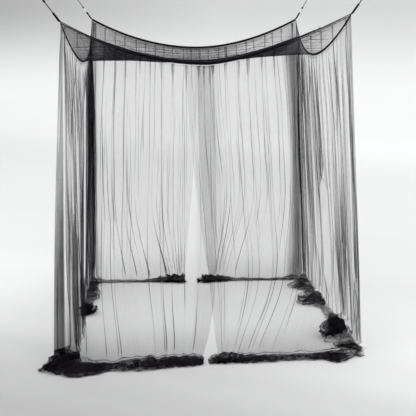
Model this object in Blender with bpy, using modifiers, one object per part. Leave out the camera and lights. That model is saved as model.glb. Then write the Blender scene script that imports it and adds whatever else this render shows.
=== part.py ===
"""A black bed net that hangs by its four corners, as thin solids.

Metres, +Z up. The origin is on the floor under the middle of the net, the front wall is at -Y and
the right side at +X. The top panel sags between four taut corner cords. Six wall pieces hang from
its bound edges in uneven folds: one for each side, and two that overlap in the middle of the front
and of the back, where they part into a slit. Every wall ends in a hem that lies rolled and heaped
on the floor.

A place along a side is a share from 0 to 1: from left to right on the front and the back, and from
front to back on the left and the right.
"""

import math
import random
from collections import namedtuple

import bmesh
import bpy
from mathutils import Vector

# Thicknesses and seams
CLOTH = 0.002  # thickness of the net
TAPE_THICKNESS = 0.0024
TAPE_HEIGHT = 0.018  # width of the binding tape, which stands on edge
SEAM_GAP = 0.0008  # air between the top panel and its bindings
WALL_GAP = 0.0035  # air between a binding and the wall that hangs from it
CORNER_SEAM = 0.003  # from a corner line to the edge of the wall beside it
OVERLAP_LAYER = 0.013  # a front or back half stands this far off the wall line where they overlap

# The four top corners that the cords pull at, and the corners of the wall line on the floor
TOP = {
    "front_left": Vector((-0.877, -0.923, 2.180)),
    "front_right": Vector((0.883, -0.923, 2.226)),
    "back_left": Vector((-0.790, 1.017, 2.197)),
    "back_right": Vector((0.859, 1.022, 2.196)),
}
FOOT = {
    "front_left": Vector((-0.987, -0.913, 0.0)),
    "front_right": Vector((1.043, -0.823, 0.0)),
    "back_left": Vector((-0.817, 1.057, 0.0)),
    "back_right": Vector((0.963, 1.037, 0.0)),
}

# The sagging top edges. The power says how the edge climbs from its low point to a corner: 2 is a
# parabola, less is straighter. bow is how far the edge is drawn in at its middle.
Edge = namedtuple("Edge", "start end outward low_share low_z power_to_start power_to_end bow")
EDGES = {
    "front": Edge("front_left", "front_right", Vector((0, -1, 0)), 0.50, 1.932, 2.0, 1.5, 0.040),
    "back": Edge("back_left", "back_right", Vector((0, 1, 0)), 0.51, 1.973, 2.0, 1.9, 0.030),
    "left": Edge("front_left", "back_left", Vector((-1, 0, 0)), 0.56, 1.903, 1.9, 2.5, 0.022),
    "right": Edge("front_right", "back_right", Vector((1, 0, 0)), 0.57, 1.946, 1.8, 2.2, 0.022),
}
MITRE_SHARE = 0.12  # near a corner the outward direction turns to the diagonal over this share

# A wall that doesn't come down on the straight line between its feet: how far in from it, by the
# share of the side. The left wall hangs plumb, and only its front corner is spread out.
DRAWN_IN = {
    "left": [(0.0, 0.0), (0.09, 0.12), (0.25, 0.10), (0.65, 0.02), (1.0, 0.0)],
}

# The hem on the floor, a row for each station along a side: how far its roll or heap reaches in
# from the wall line and out from it, and how high it stands.
Hem = namedtuple("Hem", "share inward outward height")
HEMS = {
    "front": [
        Hem(0.00, 0.10, 0.15, 0.12),
        Hem(0.05, 0.12, 0.19, 0.14),
        Hem(0.10, 0.05, 0.20, 0.06),
        Hem(0.14, 0.05, 0.17, 0.05),
        Hem(0.19, 0.04, 0.11, 0.035),
        Hem(0.25, 0.06, 0.12, 0.05),
        Hem(0.42, 0.08, 0.08, 0.055),
        Hem(0.48, 0.05, 0.06, 0.045),
        Hem(0.56, 0.07, 0.06, 0.05),
        Hem(0.66, 0.06, 0.08, 0.045),
        Hem(0.76, 0.06, 0.07, 0.04),
        Hem(0.84, 0.07, 0.10, 0.045),
        Hem(0.89, 0.10, 0.18, 0.05),
        Hem(0.94, 0.08, 0.12, 0.06),
        Hem(1.00, 0.08, 0.07, 0.08),
    ],
    "right": [
        Hem(0.00, 0.08, 0.07, 0.08),
        Hem(0.05, 0.11, 0.04, 0.07),
        Hem(0.10, 0.10, 0.03, 0.05),
        Hem(0.18, 0.18, 0.02, 0.12),
        Hem(0.27, 0.17, 0.02, 0.14),
        Hem(0.37, 0.06, 0.03, 0.04),
        Hem(0.52, 0.05, 0.03, 0.04),
        Hem(0.61, 0.16, 0.02, 0.08),
        Hem(0.69, 0.12, 0.02, 0.07),
        Hem(0.77, 0.05, 0.02, 0.04),
        Hem(0.86, 0.15, 0.02, 0.06),
        Hem(1.00, 0.06, 0.05, 0.06),
    ],
    "back": [
        Hem(0.00, 0.06, 0.05, 0.06),
        Hem(0.10, 0.04, 0.03, 0.04),
        Hem(0.27, 0.04, 0.02, 0.03),
        Hem(0.35, 0.07, 0.03, 0.05),
        Hem(0.42, 0.09, 0.03, 0.07),
        Hem(0.49, 0.05, 0.03, 0.04),
        Hem(0.56, 0.08, 0.03, 0.06),
        Hem(0.68, 0.04, 0.02, 0.04),
        Hem(0.84, 0.04, 0.02, 0.03),
        Hem(1.00, 0.06, 0.05, 0.06),
    ],
    "left": [
        Hem(0.00, 0.10, 0.15, 0.12),
        Hem(0.06, 0.08, 0.10, 0.12),
        Hem(0.13, 0.04, 0.06, 0.05),
        Hem(0.26, 0.03, 0.05, 0.035),
        Hem(0.46, 0.04, 0.04, 0.035),
        Hem(0.57, 0.10, 0.02, 0.08),
        Hem(0.66, 0.05, 0.02, 0.04),
        Hem(0.77, 0.09, 0.02, 0.06),
        Hem(0.87, 0.05, 0.03, 0.04),
        Hem(1.00, 0.06, 0.05, 0.06),
    ],
}
# Section of the hem below its wall, in shares of its reach (minus is inward) and of its height:
# down inside the roll, out along the floor, and back over the top.
HEM_SECTION = [
    (-0.65, 0.68),
    (-1.00, 0.26),
    (-0.60, 0.00),
    (0.50, 0.00),
    (1.00, 0.30),
    (0.82, 0.78),
    (0.38, 0.97),
]

# Where the hanging folds crowd together: the share that they are drawn to, over what width, and
# how strongly (0 to 1).
Bundle = namedtuple("Bundle", "share width pull")
BUNDLES = {
    "front": [Bundle(0.04, 0.06, 0.35), Bundle(0.96, 0.06, 0.35)],
    "back": [Bundle(0.04, 0.06, 0.4), Bundle(0.96, 0.06, 0.4)],
    "left": [Bundle(0.09, 0.09, 0.5), Bundle(0.46, 0.16, 0.45), Bundle(0.92, 0.08, 0.5)],
    "right": [
        Bundle(0.05, 0.06, 0.4),
        Bundle(0.26, 0.12, 0.6),
        Bundle(0.72, 0.10, 0.4),
        Bundle(0.95, 0.07, 0.5),
    ],
}

# The wall pieces. top and hem are the shares of the side that the piece spans at each end, sweep
# is how late on its way down it moves over from one to the other (1 is evenly), drag is how far
# the part on the floor lies along the side from its wall, free is the end that hangs loose, and
# layer is the side of the wall line that the loose end is on.
Wall = namedtuple("Wall", "side top hem sweep drag folds free layer")
WALLS = {
    "front_left": Wall("front", (0.0, 0.527), (0.0, 0.478), 6.0, 0.0, 11, 1, 1),
    "front_right": Wall("front", (0.465, 1.0), (0.522, 1.0), 1.7, -0.030, 11, 0, -1),
    "back_left": Wall("back", (0.0, 0.512), (0.0, 0.430), 1.5, 0.0, 9, 1, -1),
    "back_right": Wall("back", (0.452, 1.0), (0.540, 1.0), 1.6, -0.060, 9, 0, 1),
    "side_left": Wall("left", (0.0, 1.0), (0.0, 1.0), 1.0, 0.0, 19, None, 0),
    "side_right": Wall("right", (0.0, 1.0), (0.0, 1.0), 1.0, 0.0, 19, None, 0),
}
WALL_ROWS = [0.0, 0.07, 0.22, 0.45, 0.70, 0.90, 1.0]  # shares of the way down to the hem
# How deep the folds are on either side of the wall line, by the share of the way down
FOLD_DEPTHS = [(0.0, 0.003), (0.07, 0.008), (0.30, 0.019), (0.80, 0.024), (1.0, 0.010)]
FOLD_UNEVENNESS = 0.40  # folds differ in depth by this share either way
FOLD_JITTER = 0.16  # and in place by this share of a fold
FOLD_END_FADE = 0.07  # over this share of the wall the folds die away towards its ends
CROWDING_STARTS = (0.03, 0.35)  # shares of the way down where the folds start and end to crowd
HEM_CROWDING = 0.4  # share of the crowding that is left in the hem where it lies on the floor
HEM_FOLD_DEPTH = 0.010
HEM_UNEVENNESS = 0.12
FREE_END_FLAT = 0.13  # next to a loose end the folds are shallow over this share of the wall,
FREE_END_FADE = 0.36  # and from there to this share they grow to their full depth
FREE_END_DEPTH = 0.005
FREE_END_DEPTH_GROWS = (0.0, 0.10)  # shares of the way down where that depth starts and is full
# Two halves that overlap are a little way apart: this share of OVERLAP_LAYER at the binding, all of
# it over the shares of the way down between PARTING and MEETING, and none where they reach the hem.
TOP_LAYER = 0.2
PARTING = (0.0, 0.08)
MEETING = (0.9, 1.0)

# The top panel and the bindings
PANEL_COLUMNS, PANEL_ROWS = 16, 14
PANEL_SAG_NORM = 4  # how the sags of the two ways across add up: 4 keeps it a taut, shallow bowl
BINDING_COLUMNS = 22
BINDING_END = 0.003  # share of its edge that a binding leaves free at each corner

# The corners: the folded tape tab that is sewn in, and the taut cord that is tied to it, at the
# back through a long clear link
Corner = namedtuple("Corner", "pull tab_width tab_length link cord_length cord_diameter")
CORNERS = {
    "front_left": Corner(Vector((-0.085, -0.085, 0.124)), 0.014, 0.056, False, 0.125, 0.006),
    "front_right": Corner(Vector((0.048, -0.048, 0.084)), 0.013, 0.060, False, 0.070, 0.006),
    "back_left": Corner(Vector((-0.113, 0.113, 0.152)), 0.009, 0.074, True, 0.105, 0.005),
    "back_right": Corner(Vector((0.109, 0.109, 0.156)), 0.009, 0.068, True, 0.105, 0.005),
}
TAB_START = 0.006  # from the corner point to the tab
TAB_THICKNESS = 0.004
TAB_BEVEL = 0.001
LINK_LENGTH = 0.044  # of the middle line of the link's wire, along the pull
LINK_WIDTH = 0.014
LINK_WIRE = 0.004
KNOT_LENGTH = 0.014
KNOT_WIDTH = 0.6  # of the knot's length
END_LOOP_LENGTH = 0.050
END_LOOP_WIDTH = 0.028
END_LOOP_CORD = 0.8  # of the hanging cord's diameter
END_LOOP_START = 0.8  # the loop leaves its knot at this share of the knot's length
CORD_GAP = 0.0004  # between a cord and what it is tied to
CORD_POINTS = 9
LOOP_POINTS = 14


def blend(start, end, share):
    """The number at a share of the way from start to end."""
    return start + (end - start) * share


def smooth(value, low, high):
    """0 below low, 1 above high, and a soft step between them."""
    share = min(max((value - low) / (high - low), 0.0), 1.0)
    return share * share * (3 - 2 * share)


def table_value(rows, at, column):
    """A column of a table at a value of its first column, in soft steps from row to row."""
    for before, after in zip(rows, rows[1:]):
        if at <= after[0]:
            return blend(before[column], after[column], smooth(at, before[0], after[0]))
    return rows[-1][column]


def edge_drop(edge, share):
    """How far a top edge hangs below the straight line between its corners."""
    start, end = TOP[edge.start], TOP[edge.end]
    if share < edge.low_share:
        climb = (1 - share / edge.low_share) ** edge.power_to_start
        z = blend(edge.low_z, start.z, climb)
    else:
        climb = ((share - edge.low_share) / (1 - edge.low_share)) ** edge.power_to_end
        z = blend(edge.low_z, end.z, climb)
    return blend(start.z, end.z, share) - z


def edge_point(side, share):
    """A point on the middle line of a side's binding."""
    edge = EDGES[side]
    point = TOP[edge.start].lerp(TOP[edge.end], share)
    point -= edge.outward * edge.bow * 4 * share * (1 - share)
    point.z -= edge_drop(edge, share)
    return point


def foot_point(side, share):
    """A point on the line where a side's wall would meet the floor."""
    edge = EDGES[side]
    point = FOOT[edge.start].lerp(FOOT[edge.end], share)
    if side in DRAWN_IN:
        point -= edge.outward * table_value(DRAWN_IN[side], share, 1)
    return point


def outward_at(side, share):
    """The level direction out of the net, which turns to the diagonal at the corners."""
    outward = EDGES[side].outward
    along = Vector((1, 0, 0)) if side in ("front", "back") else Vector((0, 1, 0))
    turn = 1 - smooth(share, 0, MITRE_SHARE)
    turn_end = smooth(share, 1 - MITRE_SHARE, 1)
    return (outward - along * turn + along * turn_end).normalized()


def gathered(side, share, strength):
    """Where a share of the side lies once the folds have crowded into their bundles."""

    def crowd(at):
        moved = at
        for bundle in BUNDLES[side]:
            off = at - bundle.share
            moved -= strength * bundle.pull * off * math.exp(-((off / bundle.width) ** 2))
        return moved

    return crowd(share) - blend(crowd(0.0), crowd(1.0) - 1.0, share)


def near_free_end(wall, share_of_wall):
    """1 at the loose end of a half wall, and 0 well away from it."""
    if wall.free is None:
        return 0.0
    return 1 - smooth(abs(share_of_wall - wall.free), FREE_END_FLAT, FREE_END_FADE)


def wall_columns(name, wall):
    """The wall's ridges and hollows: (share of the wall, side of it, unevenness, hem unevenness)."""
    chance = random.Random(name)
    count = 2 * wall.folds
    columns = []
    for number in range(count + 1):
        inside = 0 < number < count
        shift = chance.uniform(-FOLD_JITTER, FOLD_JITTER) * inside
        depth = 1 + chance.uniform(-FOLD_UNEVENNESS, FOLD_UNEVENNESS)
        depth *= smooth(min(number, count - number) / count, 0.0, FOLD_END_FADE)
        ridge = 1 if number % 2 else -1
        hem = 1 + chance.uniform(-HEM_UNEVENNESS, HEM_UNEVENNESS) * inside
        columns.append(((number + shift) / count, ridge * depth, hem))
    return columns


def hanging_point(wall, share, fold, down):
    """A point on the hanging part of a wall, at a share of the way down to its hem."""
    top_share, foot_share = blend(*wall.top, share), blend(*wall.hem, share)
    crowding = smooth(down, *CROWDING_STARTS)
    at = gathered(wall.side, blend(top_share, foot_share, down**wall.sweep), crowding)
    point = edge_point(wall.side, at).lerp(foot_point(wall.side, at), down)
    top_z = edge_point(wall.side, top_share).z - TAPE_HEIGHT / 2 - WALL_GAP
    point.z = blend(top_z, table_value(HEMS[wall.side], foot_share, 3), down)

    free = near_free_end(wall, share)
    free_depth = FREE_END_DEPTH * smooth(down, *FREE_END_DEPTH_GROWS)
    depth = blend(table_value(FOLD_DEPTHS, down, 1), free_depth, free)
    parted = blend(TOP_LAYER, 1.0, smooth(down, *PARTING)) * (1 - smooth(down, *MEETING))
    layer = wall.layer * free * OVERLAP_LAYER * parted
    return point + outward_at(wall.side, at) * (layer + fold * depth)


def hem_point(wall, share, fold, unevenness, reach, height):
    """A point on the part of a wall that lies on the floor, by its place in the hem's section."""
    foot_share = blend(*wall.hem, share)
    station = [table_value(HEMS[wall.side], foot_share, column) for column in (1, 2, 3)]
    inward, outward, tall = [size * unevenness for size in station]
    slide = wall.drag * near_free_end(wall, share) * (1 - height)
    at = gathered(wall.side, foot_share, blend(HEM_CROWDING, 1.0, height)) + slide
    distance = reach * (inward if reach < 0 else outward) + fold * HEM_FOLD_DEPTH * height
    point = foot_point(wall.side, at) + outward_at(wall.side, at) * distance
    point.z = max(tall * height, CLOTH / 2)
    return point


def add_sheet(name, columns, rows, thickness, place, material):
    """A sheet of columns by rows of faces whose corners are place(column, row), given thickness."""
    mesh = bpy.data.meshes.new(name)
    shape = bmesh.new()
    bmesh.ops.create_grid(shape, x_segments=columns, y_segments=rows, size=0.5)
    for point in shape.verts:
        point.co = place(round((point.co.x + 0.5) * columns), round((point.co.y + 0.5) * rows))
    shape.to_mesh(mesh)
    shape.free()
    sheet = add_object(name, mesh, material)
    solidify = sheet.modifiers.new("Thickness", "SOLIDIFY")
    solidify.thickness = thickness
    solidify.offset = 0
    return sheet


def add_object(name, data, material):
    """A new object in the part's collection, with its own material."""
    made = bpy.data.objects.new(name, data)
    bpy.data.collections["Bed net"].objects.link(made)
    data.materials.append(material)
    return made


def add_material(name, colour, roughness):
    """A Principled material of one colour."""
    material = bpy.data.materials.new(name)
    material.use_nodes = True
    shader = material.node_tree.nodes["Principled BSDF"]
    shader.inputs["Base Color"].default_value = (*colour, 1)
    shader.inputs["Roughness"].default_value = roughness
    return material


def make_wall(name, wall, material):
    """One wall piece, from its binding down to the end of its hem."""
    columns = wall_columns(name, wall)
    end_shift = {0: 1, len(columns) - 1: -1}

    def place(column, row):
        share, fold, unevenness = columns[column]
        if row < len(WALL_ROWS):
            point = hanging_point(wall, share, fold, WALL_ROWS[row])
        else:
            point = hem_point(wall, share, fold, unevenness, *HEM_SECTION[row - len(WALL_ROWS)])
        edge = EDGES[wall.side]
        along = (FOOT[edge.end] - FOOT[edge.start]).normalized()
        return point + along * CORNER_SEAM * end_shift.get(column, 0)

    rows = len(WALL_ROWS) + len(HEM_SECTION) - 1
    return add_sheet(name, len(columns) - 1, rows, CLOTH, place, material)


def make_top_panel(material):
    """The sagging top panel, inside its four bindings."""
    inset = TAPE_THICKNESS / 2 + SEAM_GAP

    def place(column, row):
        across, back = column / PANEL_COLUMNS, row / PANEL_ROWS
        front, rear = edge_point("front", across), edge_point("back", across)
        left, right = edge_point("left", back), edge_point("right", back)
        flat_front = TOP["front_left"].lerp(TOP["front_right"], across)
        flat_rear = TOP["back_left"].lerp(TOP["back_right"], across)
        flat = flat_front.lerp(flat_rear, back)
        point = front.lerp(rear, back) + left.lerp(right, across) - flat
        sag_across = blend(edge_drop(EDGES["front"], across), edge_drop(EDGES["back"], across), back)
        sag_back = blend(edge_drop(EDGES["left"], back), edge_drop(EDGES["right"], back), across)
        sag = (sag_across**PANEL_SAG_NORM + sag_back**PANEL_SAG_NORM) ** (1 / PANEL_SAG_NORM)
        point.z = flat.z - sag
        point.x += inset * (1 - 2 * across)
        point.y += inset * (1 - 2 * back)
        return point

    return add_sheet("top_panel", PANEL_COLUMNS, PANEL_ROWS, CLOTH, place, material)


def make_binding(side, material):
    """The tape along one top edge, standing on edge."""

    def place(column, row):
        point = edge_point(side, blend(BINDING_END, 1 - BINDING_END, column / BINDING_COLUMNS))
        point.z += TAPE_HEIGHT * (0.5 - row)
        return point

    return add_sheet(f"binding_{side}", BINDING_COLUMNS, 1, TAPE_THICKNESS, place, material)


def make_tab(name, corner, direction, material):
    """The folded tape tab that a cord is tied to, from its corner along the pull."""
    bpy.ops.mesh.primitive_cube_add(size=1)
    tab = bpy.context.object
    tab.name = f"tab_{name}"
    tab.scale = (corner.tab_width, TAB_THICKNESS, corner.tab_length)
    bpy.ops.object.transform_apply(location=False, rotation=False, scale=True)
    tab.location = TOP[name] + direction * (TAB_START + corner.tab_length / 2)
    tab.rotation_euler = direction.to_track_quat("Z", "Y").to_euler()
    bevel = tab.modifiers.new("Soft edges", "BEVEL")
    bevel.width = TAB_BEVEL
    bevel.segments = 1
    tab.data.materials.append(material)
    move_to("Bed net", tab)


def move_to(title, made):
    """Moves an object from the collection that it was made in to the one with this title."""
    for collection in list(made.users_collection):
        collection.objects.unlink(made)
    bpy.data.collections[title].objects.link(made)


def make_knot(name, centre, direction, material):
    """A pulled-tight knot, longer than it is wide."""
    mesh = bpy.data.meshes.new(name)
    shape = bmesh.new()
    bmesh.ops.create_uvsphere(shape, u_segments=8, v_segments=5, radius=KNOT_LENGTH / 2)
    bmesh.ops.scale(shape, vec=(KNOT_WIDTH, KNOT_WIDTH, 1), verts=shape.verts)
    shape.to_mesh(mesh)
    shape.free()
    mesh.shade_smooth()
    knot = add_object(name, mesh, material)
    knot.location = centre
    knot.rotation_euler = direction.to_track_quat("Z", "Y").to_euler()
    return knot


def add_tube(name, points, diameter, closed, material):
    """A round cord through the points, as a curve with filled caps."""
    curve = bpy.data.curves.new(name, "CURVE")
    curve.dimensions = "3D"
    curve.bevel_depth = diameter / 2
    curve.bevel_resolution = 1 if closed else 2
    curve.use_fill_caps = True
    spline = curve.splines.new("POLY")
    spline.points.add(len(points) - 1)
    for spot, point in zip(spline.points, points):
        spot.co = (*point, 1)
    spline.use_cyclic_u = closed
    return add_object(name, curve, material)


def as_mesh(tube):
    """The tube as a mesh object with its caps welded, in place of the curve."""
    mesh = bpy.data.meshes.new_from_object(tube.evaluated_get(bpy.context.evaluated_depsgraph_get()))
    shape = bmesh.new()
    shape.from_mesh(mesh)
    bmesh.ops.remove_doubles(shape, verts=shape.verts, dist=0.00001)
    shape.to_mesh(mesh)
    shape.free()
    name, place = tube.name, tube.matrix_world.copy()
    bpy.data.objects.remove(tube)
    made = bpy.data.objects.new(name, mesh)
    made.matrix_world = place
    bpy.data.collections["Bed net"].objects.link(made)
    return made


def add_oval(name, start, direction, size, wire, material):
    """A closed oval of round wire, of a length and width, from start along the direction."""
    length, width = size
    across = direction.cross(Vector((0, 0, 1))).normalized()
    centre = start + direction * length / 2
    points = []
    for number in range(LOOP_POINTS):
        turn = 2 * math.pi * number / LOOP_POINTS
        along = direction * math.cos(turn) * length / 2
        points.append(centre + along + across * math.sin(turn) * width / 2)
    return as_mesh(add_tube(name, points, wire, True, material))


def make_end_loop(name, start, direction, diameter, material):
    """The loop that a cord ends in, which goes over a hook, and the knot that closes it."""
    loop_start = start + direction * KNOT_LENGTH * END_LOOP_START
    size = (END_LOOP_LENGTH, END_LOOP_WIDTH)
    loop = add_oval(f"loop_{name}", loop_start, direction, size, diameter * END_LOOP_CORD, material)
    knot = make_knot(f"knot_of_loop_{name}", start + direction * KNOT_LENGTH / 2, direction, material)
    move_to("Shaping pieces", knot)
    knot.hide_render = True
    knot.display_type = "WIRE"
    union = loop.modifiers.new("Knot", "BOOLEAN")
    union.operation = "UNION"
    union.object = knot
    return loop


def make_corner(name, corner, tape, cord, clear):
    """A corner's tab, its link if it has one, its knot, its taut cord and the loop at its end."""
    direction = corner.pull.normalized()
    make_tab(name, corner, direction, tape)
    reached = TAB_START + corner.tab_length + CORD_GAP
    if corner.link:
        wire_start = TOP[name] + direction * (reached + LINK_WIRE / 2)
        add_oval(f"link_{name}", wire_start, direction, (LINK_LENGTH, LINK_WIDTH), LINK_WIRE, clear)
        reached += LINK_LENGTH + LINK_WIRE + CORD_GAP
    make_knot(f"knot_{name}", TOP[name] + direction * (reached + KNOT_LENGTH / 2), direction, cord)
    reached += KNOT_LENGTH + CORD_GAP
    start = TOP[name] + direction * reached
    end = start + direction * corner.cord_length
    points = [start.lerp(end, number / (CORD_POINTS - 1)) for number in range(CORD_POINTS)]
    add_tube(f"cord_{name}", points, corner.cord_diameter, False, cord)
    make_end_loop(name, end + direction * CORD_GAP, direction, corner.cord_diameter, cord)


def main():
    for old in list(bpy.data.objects):
        bpy.data.objects.remove(old)
    for title in ("Bed net", "Shaping pieces"):
        bpy.context.scene.collection.children.link(bpy.data.collections.new(title))

    net = add_material("Black net", (0.012, 0.011, 0.013), 0.75)
    tape = add_material("Black tape", (0.008, 0.008, 0.009), 0.7)
    cord = add_material("Black cord", (0.010, 0.010, 0.010), 0.65)
    clear = add_material("Clear link", (0.75, 0.76, 0.78), 0.15)

    make_top_panel(net)
    for side in EDGES:
        make_binding(side, tape)
    for name, wall in WALLS.items():
        make_wall(name, wall, net)
    for name, corner in CORNERS.items():
        make_corner(name, corner, tape, cord, clear)


main()
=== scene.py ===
"""The looks of a black bed net that hangs by its four corners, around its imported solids.

Metres, +Z up. The origin is on the floor under the middle of the net, the front wall is at -Y and
the right side at +X. Each solid of cloth is replaced by one thin sheet of net on the same main
folds, with the fine folds, the pleats under the bindings and the crumpled hem that it has for real.
The net is black and sheer: the more steeply it is looked along, the less shows through it.
"""

import math
import random
from collections import namedtuple

import bmesh
import bpy
import numpy as np
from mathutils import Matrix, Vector, noise


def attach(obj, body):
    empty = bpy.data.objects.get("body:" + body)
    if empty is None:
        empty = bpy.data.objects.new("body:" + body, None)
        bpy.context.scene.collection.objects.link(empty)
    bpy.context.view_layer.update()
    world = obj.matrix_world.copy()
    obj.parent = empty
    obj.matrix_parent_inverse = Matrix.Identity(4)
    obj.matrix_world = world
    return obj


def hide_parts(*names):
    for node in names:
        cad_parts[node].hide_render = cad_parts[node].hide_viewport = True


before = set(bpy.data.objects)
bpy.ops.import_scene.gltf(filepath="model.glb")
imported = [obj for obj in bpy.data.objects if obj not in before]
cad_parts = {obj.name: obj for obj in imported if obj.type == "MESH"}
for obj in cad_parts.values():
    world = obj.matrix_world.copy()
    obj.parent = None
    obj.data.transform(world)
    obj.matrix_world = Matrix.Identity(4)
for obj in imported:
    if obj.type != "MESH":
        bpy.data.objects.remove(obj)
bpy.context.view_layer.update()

# ----------------------------- Sizes that the solids have too -----------------------------
TAPE_HEIGHT = 0.018
TAPE_THICKNESS = 0.0024
WALL_GAP = 0.0035
CORNER_SEAM = 0.003
SEAM_GAP = 0.0008
OVERLAP_LAYER = 0.013

TOP = {
    "front_left": np.array((-0.877, -0.923, 2.180)),
    "front_right": np.array((0.883, -0.923, 2.226)),
    "back_left": np.array((-0.790, 1.017, 2.197)),
    "back_right": np.array((0.859, 1.022, 2.196)),
}
FOOT = {
    "front_left": np.array((-0.987, -0.913, 0.0)),
    "front_right": np.array((1.043, -0.823, 0.0)),
    "back_left": np.array((-0.817, 1.057, 0.0)),
    "back_right": np.array((0.963, 1.037, 0.0)),
}

# A top edge: its corners, the way out of the net, the share and height of its lowest point, how
# sharply it rises to either corner from there, and how far its middle is drawn in
Edge = namedtuple("Edge", "start end outward low_share low_z power_to_start power_to_end bow")
EDGES = {
    "front": Edge("front_left", "front_right", (0, -1, 0), 0.50, 1.932, 2.0, 1.5, 0.040),
    "back": Edge("back_left", "back_right", (0, 1, 0), 0.51, 1.973, 2.0, 1.9, 0.030),
    "left": Edge("front_left", "back_left", (-1, 0, 0), 0.56, 1.903, 1.9, 2.5, 0.022),
    "right": Edge("front_right", "back_right", (1, 0, 0), 0.57, 1.946, 1.8, 2.2, 0.022),
}
MITRE_SHARE = 0.12
# How far a wall's foot is drawn in, by the share of the side
DRAWN_IN = {
    "left": [(0.0, 0.0), (0.09, 0.12), (0.25, 0.10), (0.65, 0.02), (1.0, 0.0)],
}

# Where the hem lies: the share of the side, how far it reaches inward and outward, and how high
HEMS = {
    "front": [
        (0.00, 0.10, 0.15, 0.12), (0.05, 0.12, 0.19, 0.14), (0.10, 0.05, 0.20, 0.06),
        (0.14, 0.05, 0.17, 0.05), (0.19, 0.04, 0.11, 0.035), (0.25, 0.06, 0.12, 0.05),
        (0.42, 0.08, 0.08, 0.055), (0.48, 0.05, 0.06, 0.045), (0.56, 0.07, 0.06, 0.05),
        (0.66, 0.06, 0.08, 0.045), (0.76, 0.06, 0.07, 0.04), (0.84, 0.07, 0.10, 0.045),
        (0.89, 0.10, 0.18, 0.05), (0.94, 0.08, 0.12, 0.06), (1.00, 0.08, 0.07, 0.08),
    ],
    "right": [
        (0.00, 0.08, 0.07, 0.08), (0.05, 0.11, 0.04, 0.07), (0.10, 0.10, 0.03, 0.05),
        (0.18, 0.18, 0.02, 0.12), (0.27, 0.17, 0.02, 0.14), (0.37, 0.06, 0.03, 0.04),
        (0.52, 0.05, 0.03, 0.04), (0.61, 0.16, 0.02, 0.08), (0.69, 0.12, 0.02, 0.07),
        (0.77, 0.05, 0.02, 0.04), (0.86, 0.15, 0.02, 0.06), (1.00, 0.06, 0.05, 0.06),
    ],
    "back": [
        (0.00, 0.06, 0.05, 0.06), (0.10, 0.04, 0.03, 0.04), (0.27, 0.04, 0.02, 0.03),
        (0.35, 0.07, 0.03, 0.05), (0.42, 0.09, 0.03, 0.07), (0.49, 0.05, 0.03, 0.04),
        (0.56, 0.08, 0.03, 0.06), (0.68, 0.04, 0.02, 0.04), (0.84, 0.04, 0.02, 0.03),
        (1.00, 0.06, 0.05, 0.06),
    ],
    "left": [
        (0.00, 0.10, 0.15, 0.12), (0.06, 0.08, 0.10, 0.12), (0.13, 0.04, 0.06, 0.05),
        (0.26, 0.03, 0.05, 0.035), (0.46, 0.04, 0.04, 0.035), (0.57, 0.10, 0.02, 0.08),
        (0.66, 0.05, 0.02, 0.04), (0.77, 0.09, 0.02, 0.06), (0.87, 0.05, 0.03, 0.04),
        (1.00, 0.06, 0.05, 0.06),
    ],
}

# Where the folds crowd together: at which share of the side, over what width of it and how closely
Bundle = namedtuple("Bundle", "share width pull")
BUNDLES = {
    "front": [Bundle(0.04, 0.06, 0.35), Bundle(0.96, 0.06, 0.35)],
    "back": [Bundle(0.04, 0.06, 0.4), Bundle(0.96, 0.06, 0.4)],
    "left": [Bundle(0.09, 0.09, 0.5), Bundle(0.46, 0.16, 0.45), Bundle(0.92, 0.08, 0.5)],
    "right": [
        Bundle(0.05, 0.06, 0.4), Bundle(0.26, 0.12, 0.6), Bundle(0.72, 0.10, 0.4),
        Bundle(0.95, 0.07, 0.5),
    ],
}

# A wall's side, between which shares of it the wall is sewn on and meets the floor, along which
# power of the way down it goes from one to the other, how far its loose end drags on the floor, how
# many main folds it has, which end is loose (0 or 1), and whether that hangs outside (1) or inside
Wall = namedtuple("Wall", "side top hem sweep drag folds free layer")
WALLS = {
    "front_left": Wall("front", (0.0, 0.527), (0.0, 0.478), 6.0, 0.0, 11, 1, 1),
    "front_right": Wall("front", (0.465, 1.0), (0.522, 1.0), 1.7, -0.030, 11, 0, -1),
    "back_left": Wall("back", (0.0, 0.512), (0.0, 0.430), 1.5, 0.0, 9, 1, -1),
    "back_right": Wall("back", (0.452, 1.0), (0.540, 1.0), 1.6, -0.060, 9, 0, 1),
    "side_left": Wall("left", (0.0, 1.0), (0.0, 1.0), 1.0, 0.0, 19, None, 0),
    "side_right": Wall("right", (0.0, 1.0), (0.0, 1.0), 1.0, 0.0, 19, None, 0),
}
# The main folds: how deep they are, by the share of the way down. Each pair under them is the two
# shares of the way down between which something grows or fades.
FOLD_DEPTHS = [(0.0, 0.003), (0.07, 0.008), (0.30, 0.019), (0.80, 0.024), (1.0, 0.010)]
FOLD_UNEVENNESS = 0.40
FOLD_JITTER = 0.16
FOLD_END_FADE = 0.07
CROWDING_STARTS = (0.03, 0.35)
HEM_CROWDING = 0.4
HEM_FOLD_DEPTH = 0.010
HEM_UNEVENNESS = 0.12
FREE_END_FLAT = 0.13
FREE_END_FADE = 0.36
FREE_END_DEPTH = 0.005
FREE_END_DEPTH_GROWS = (0.0, 0.10)
TOP_LAYER = 0.2
PARTING = (0.0, 0.08)
MEETING = (0.9, 1.0)
PANEL_SAG_NORM = 4

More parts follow.
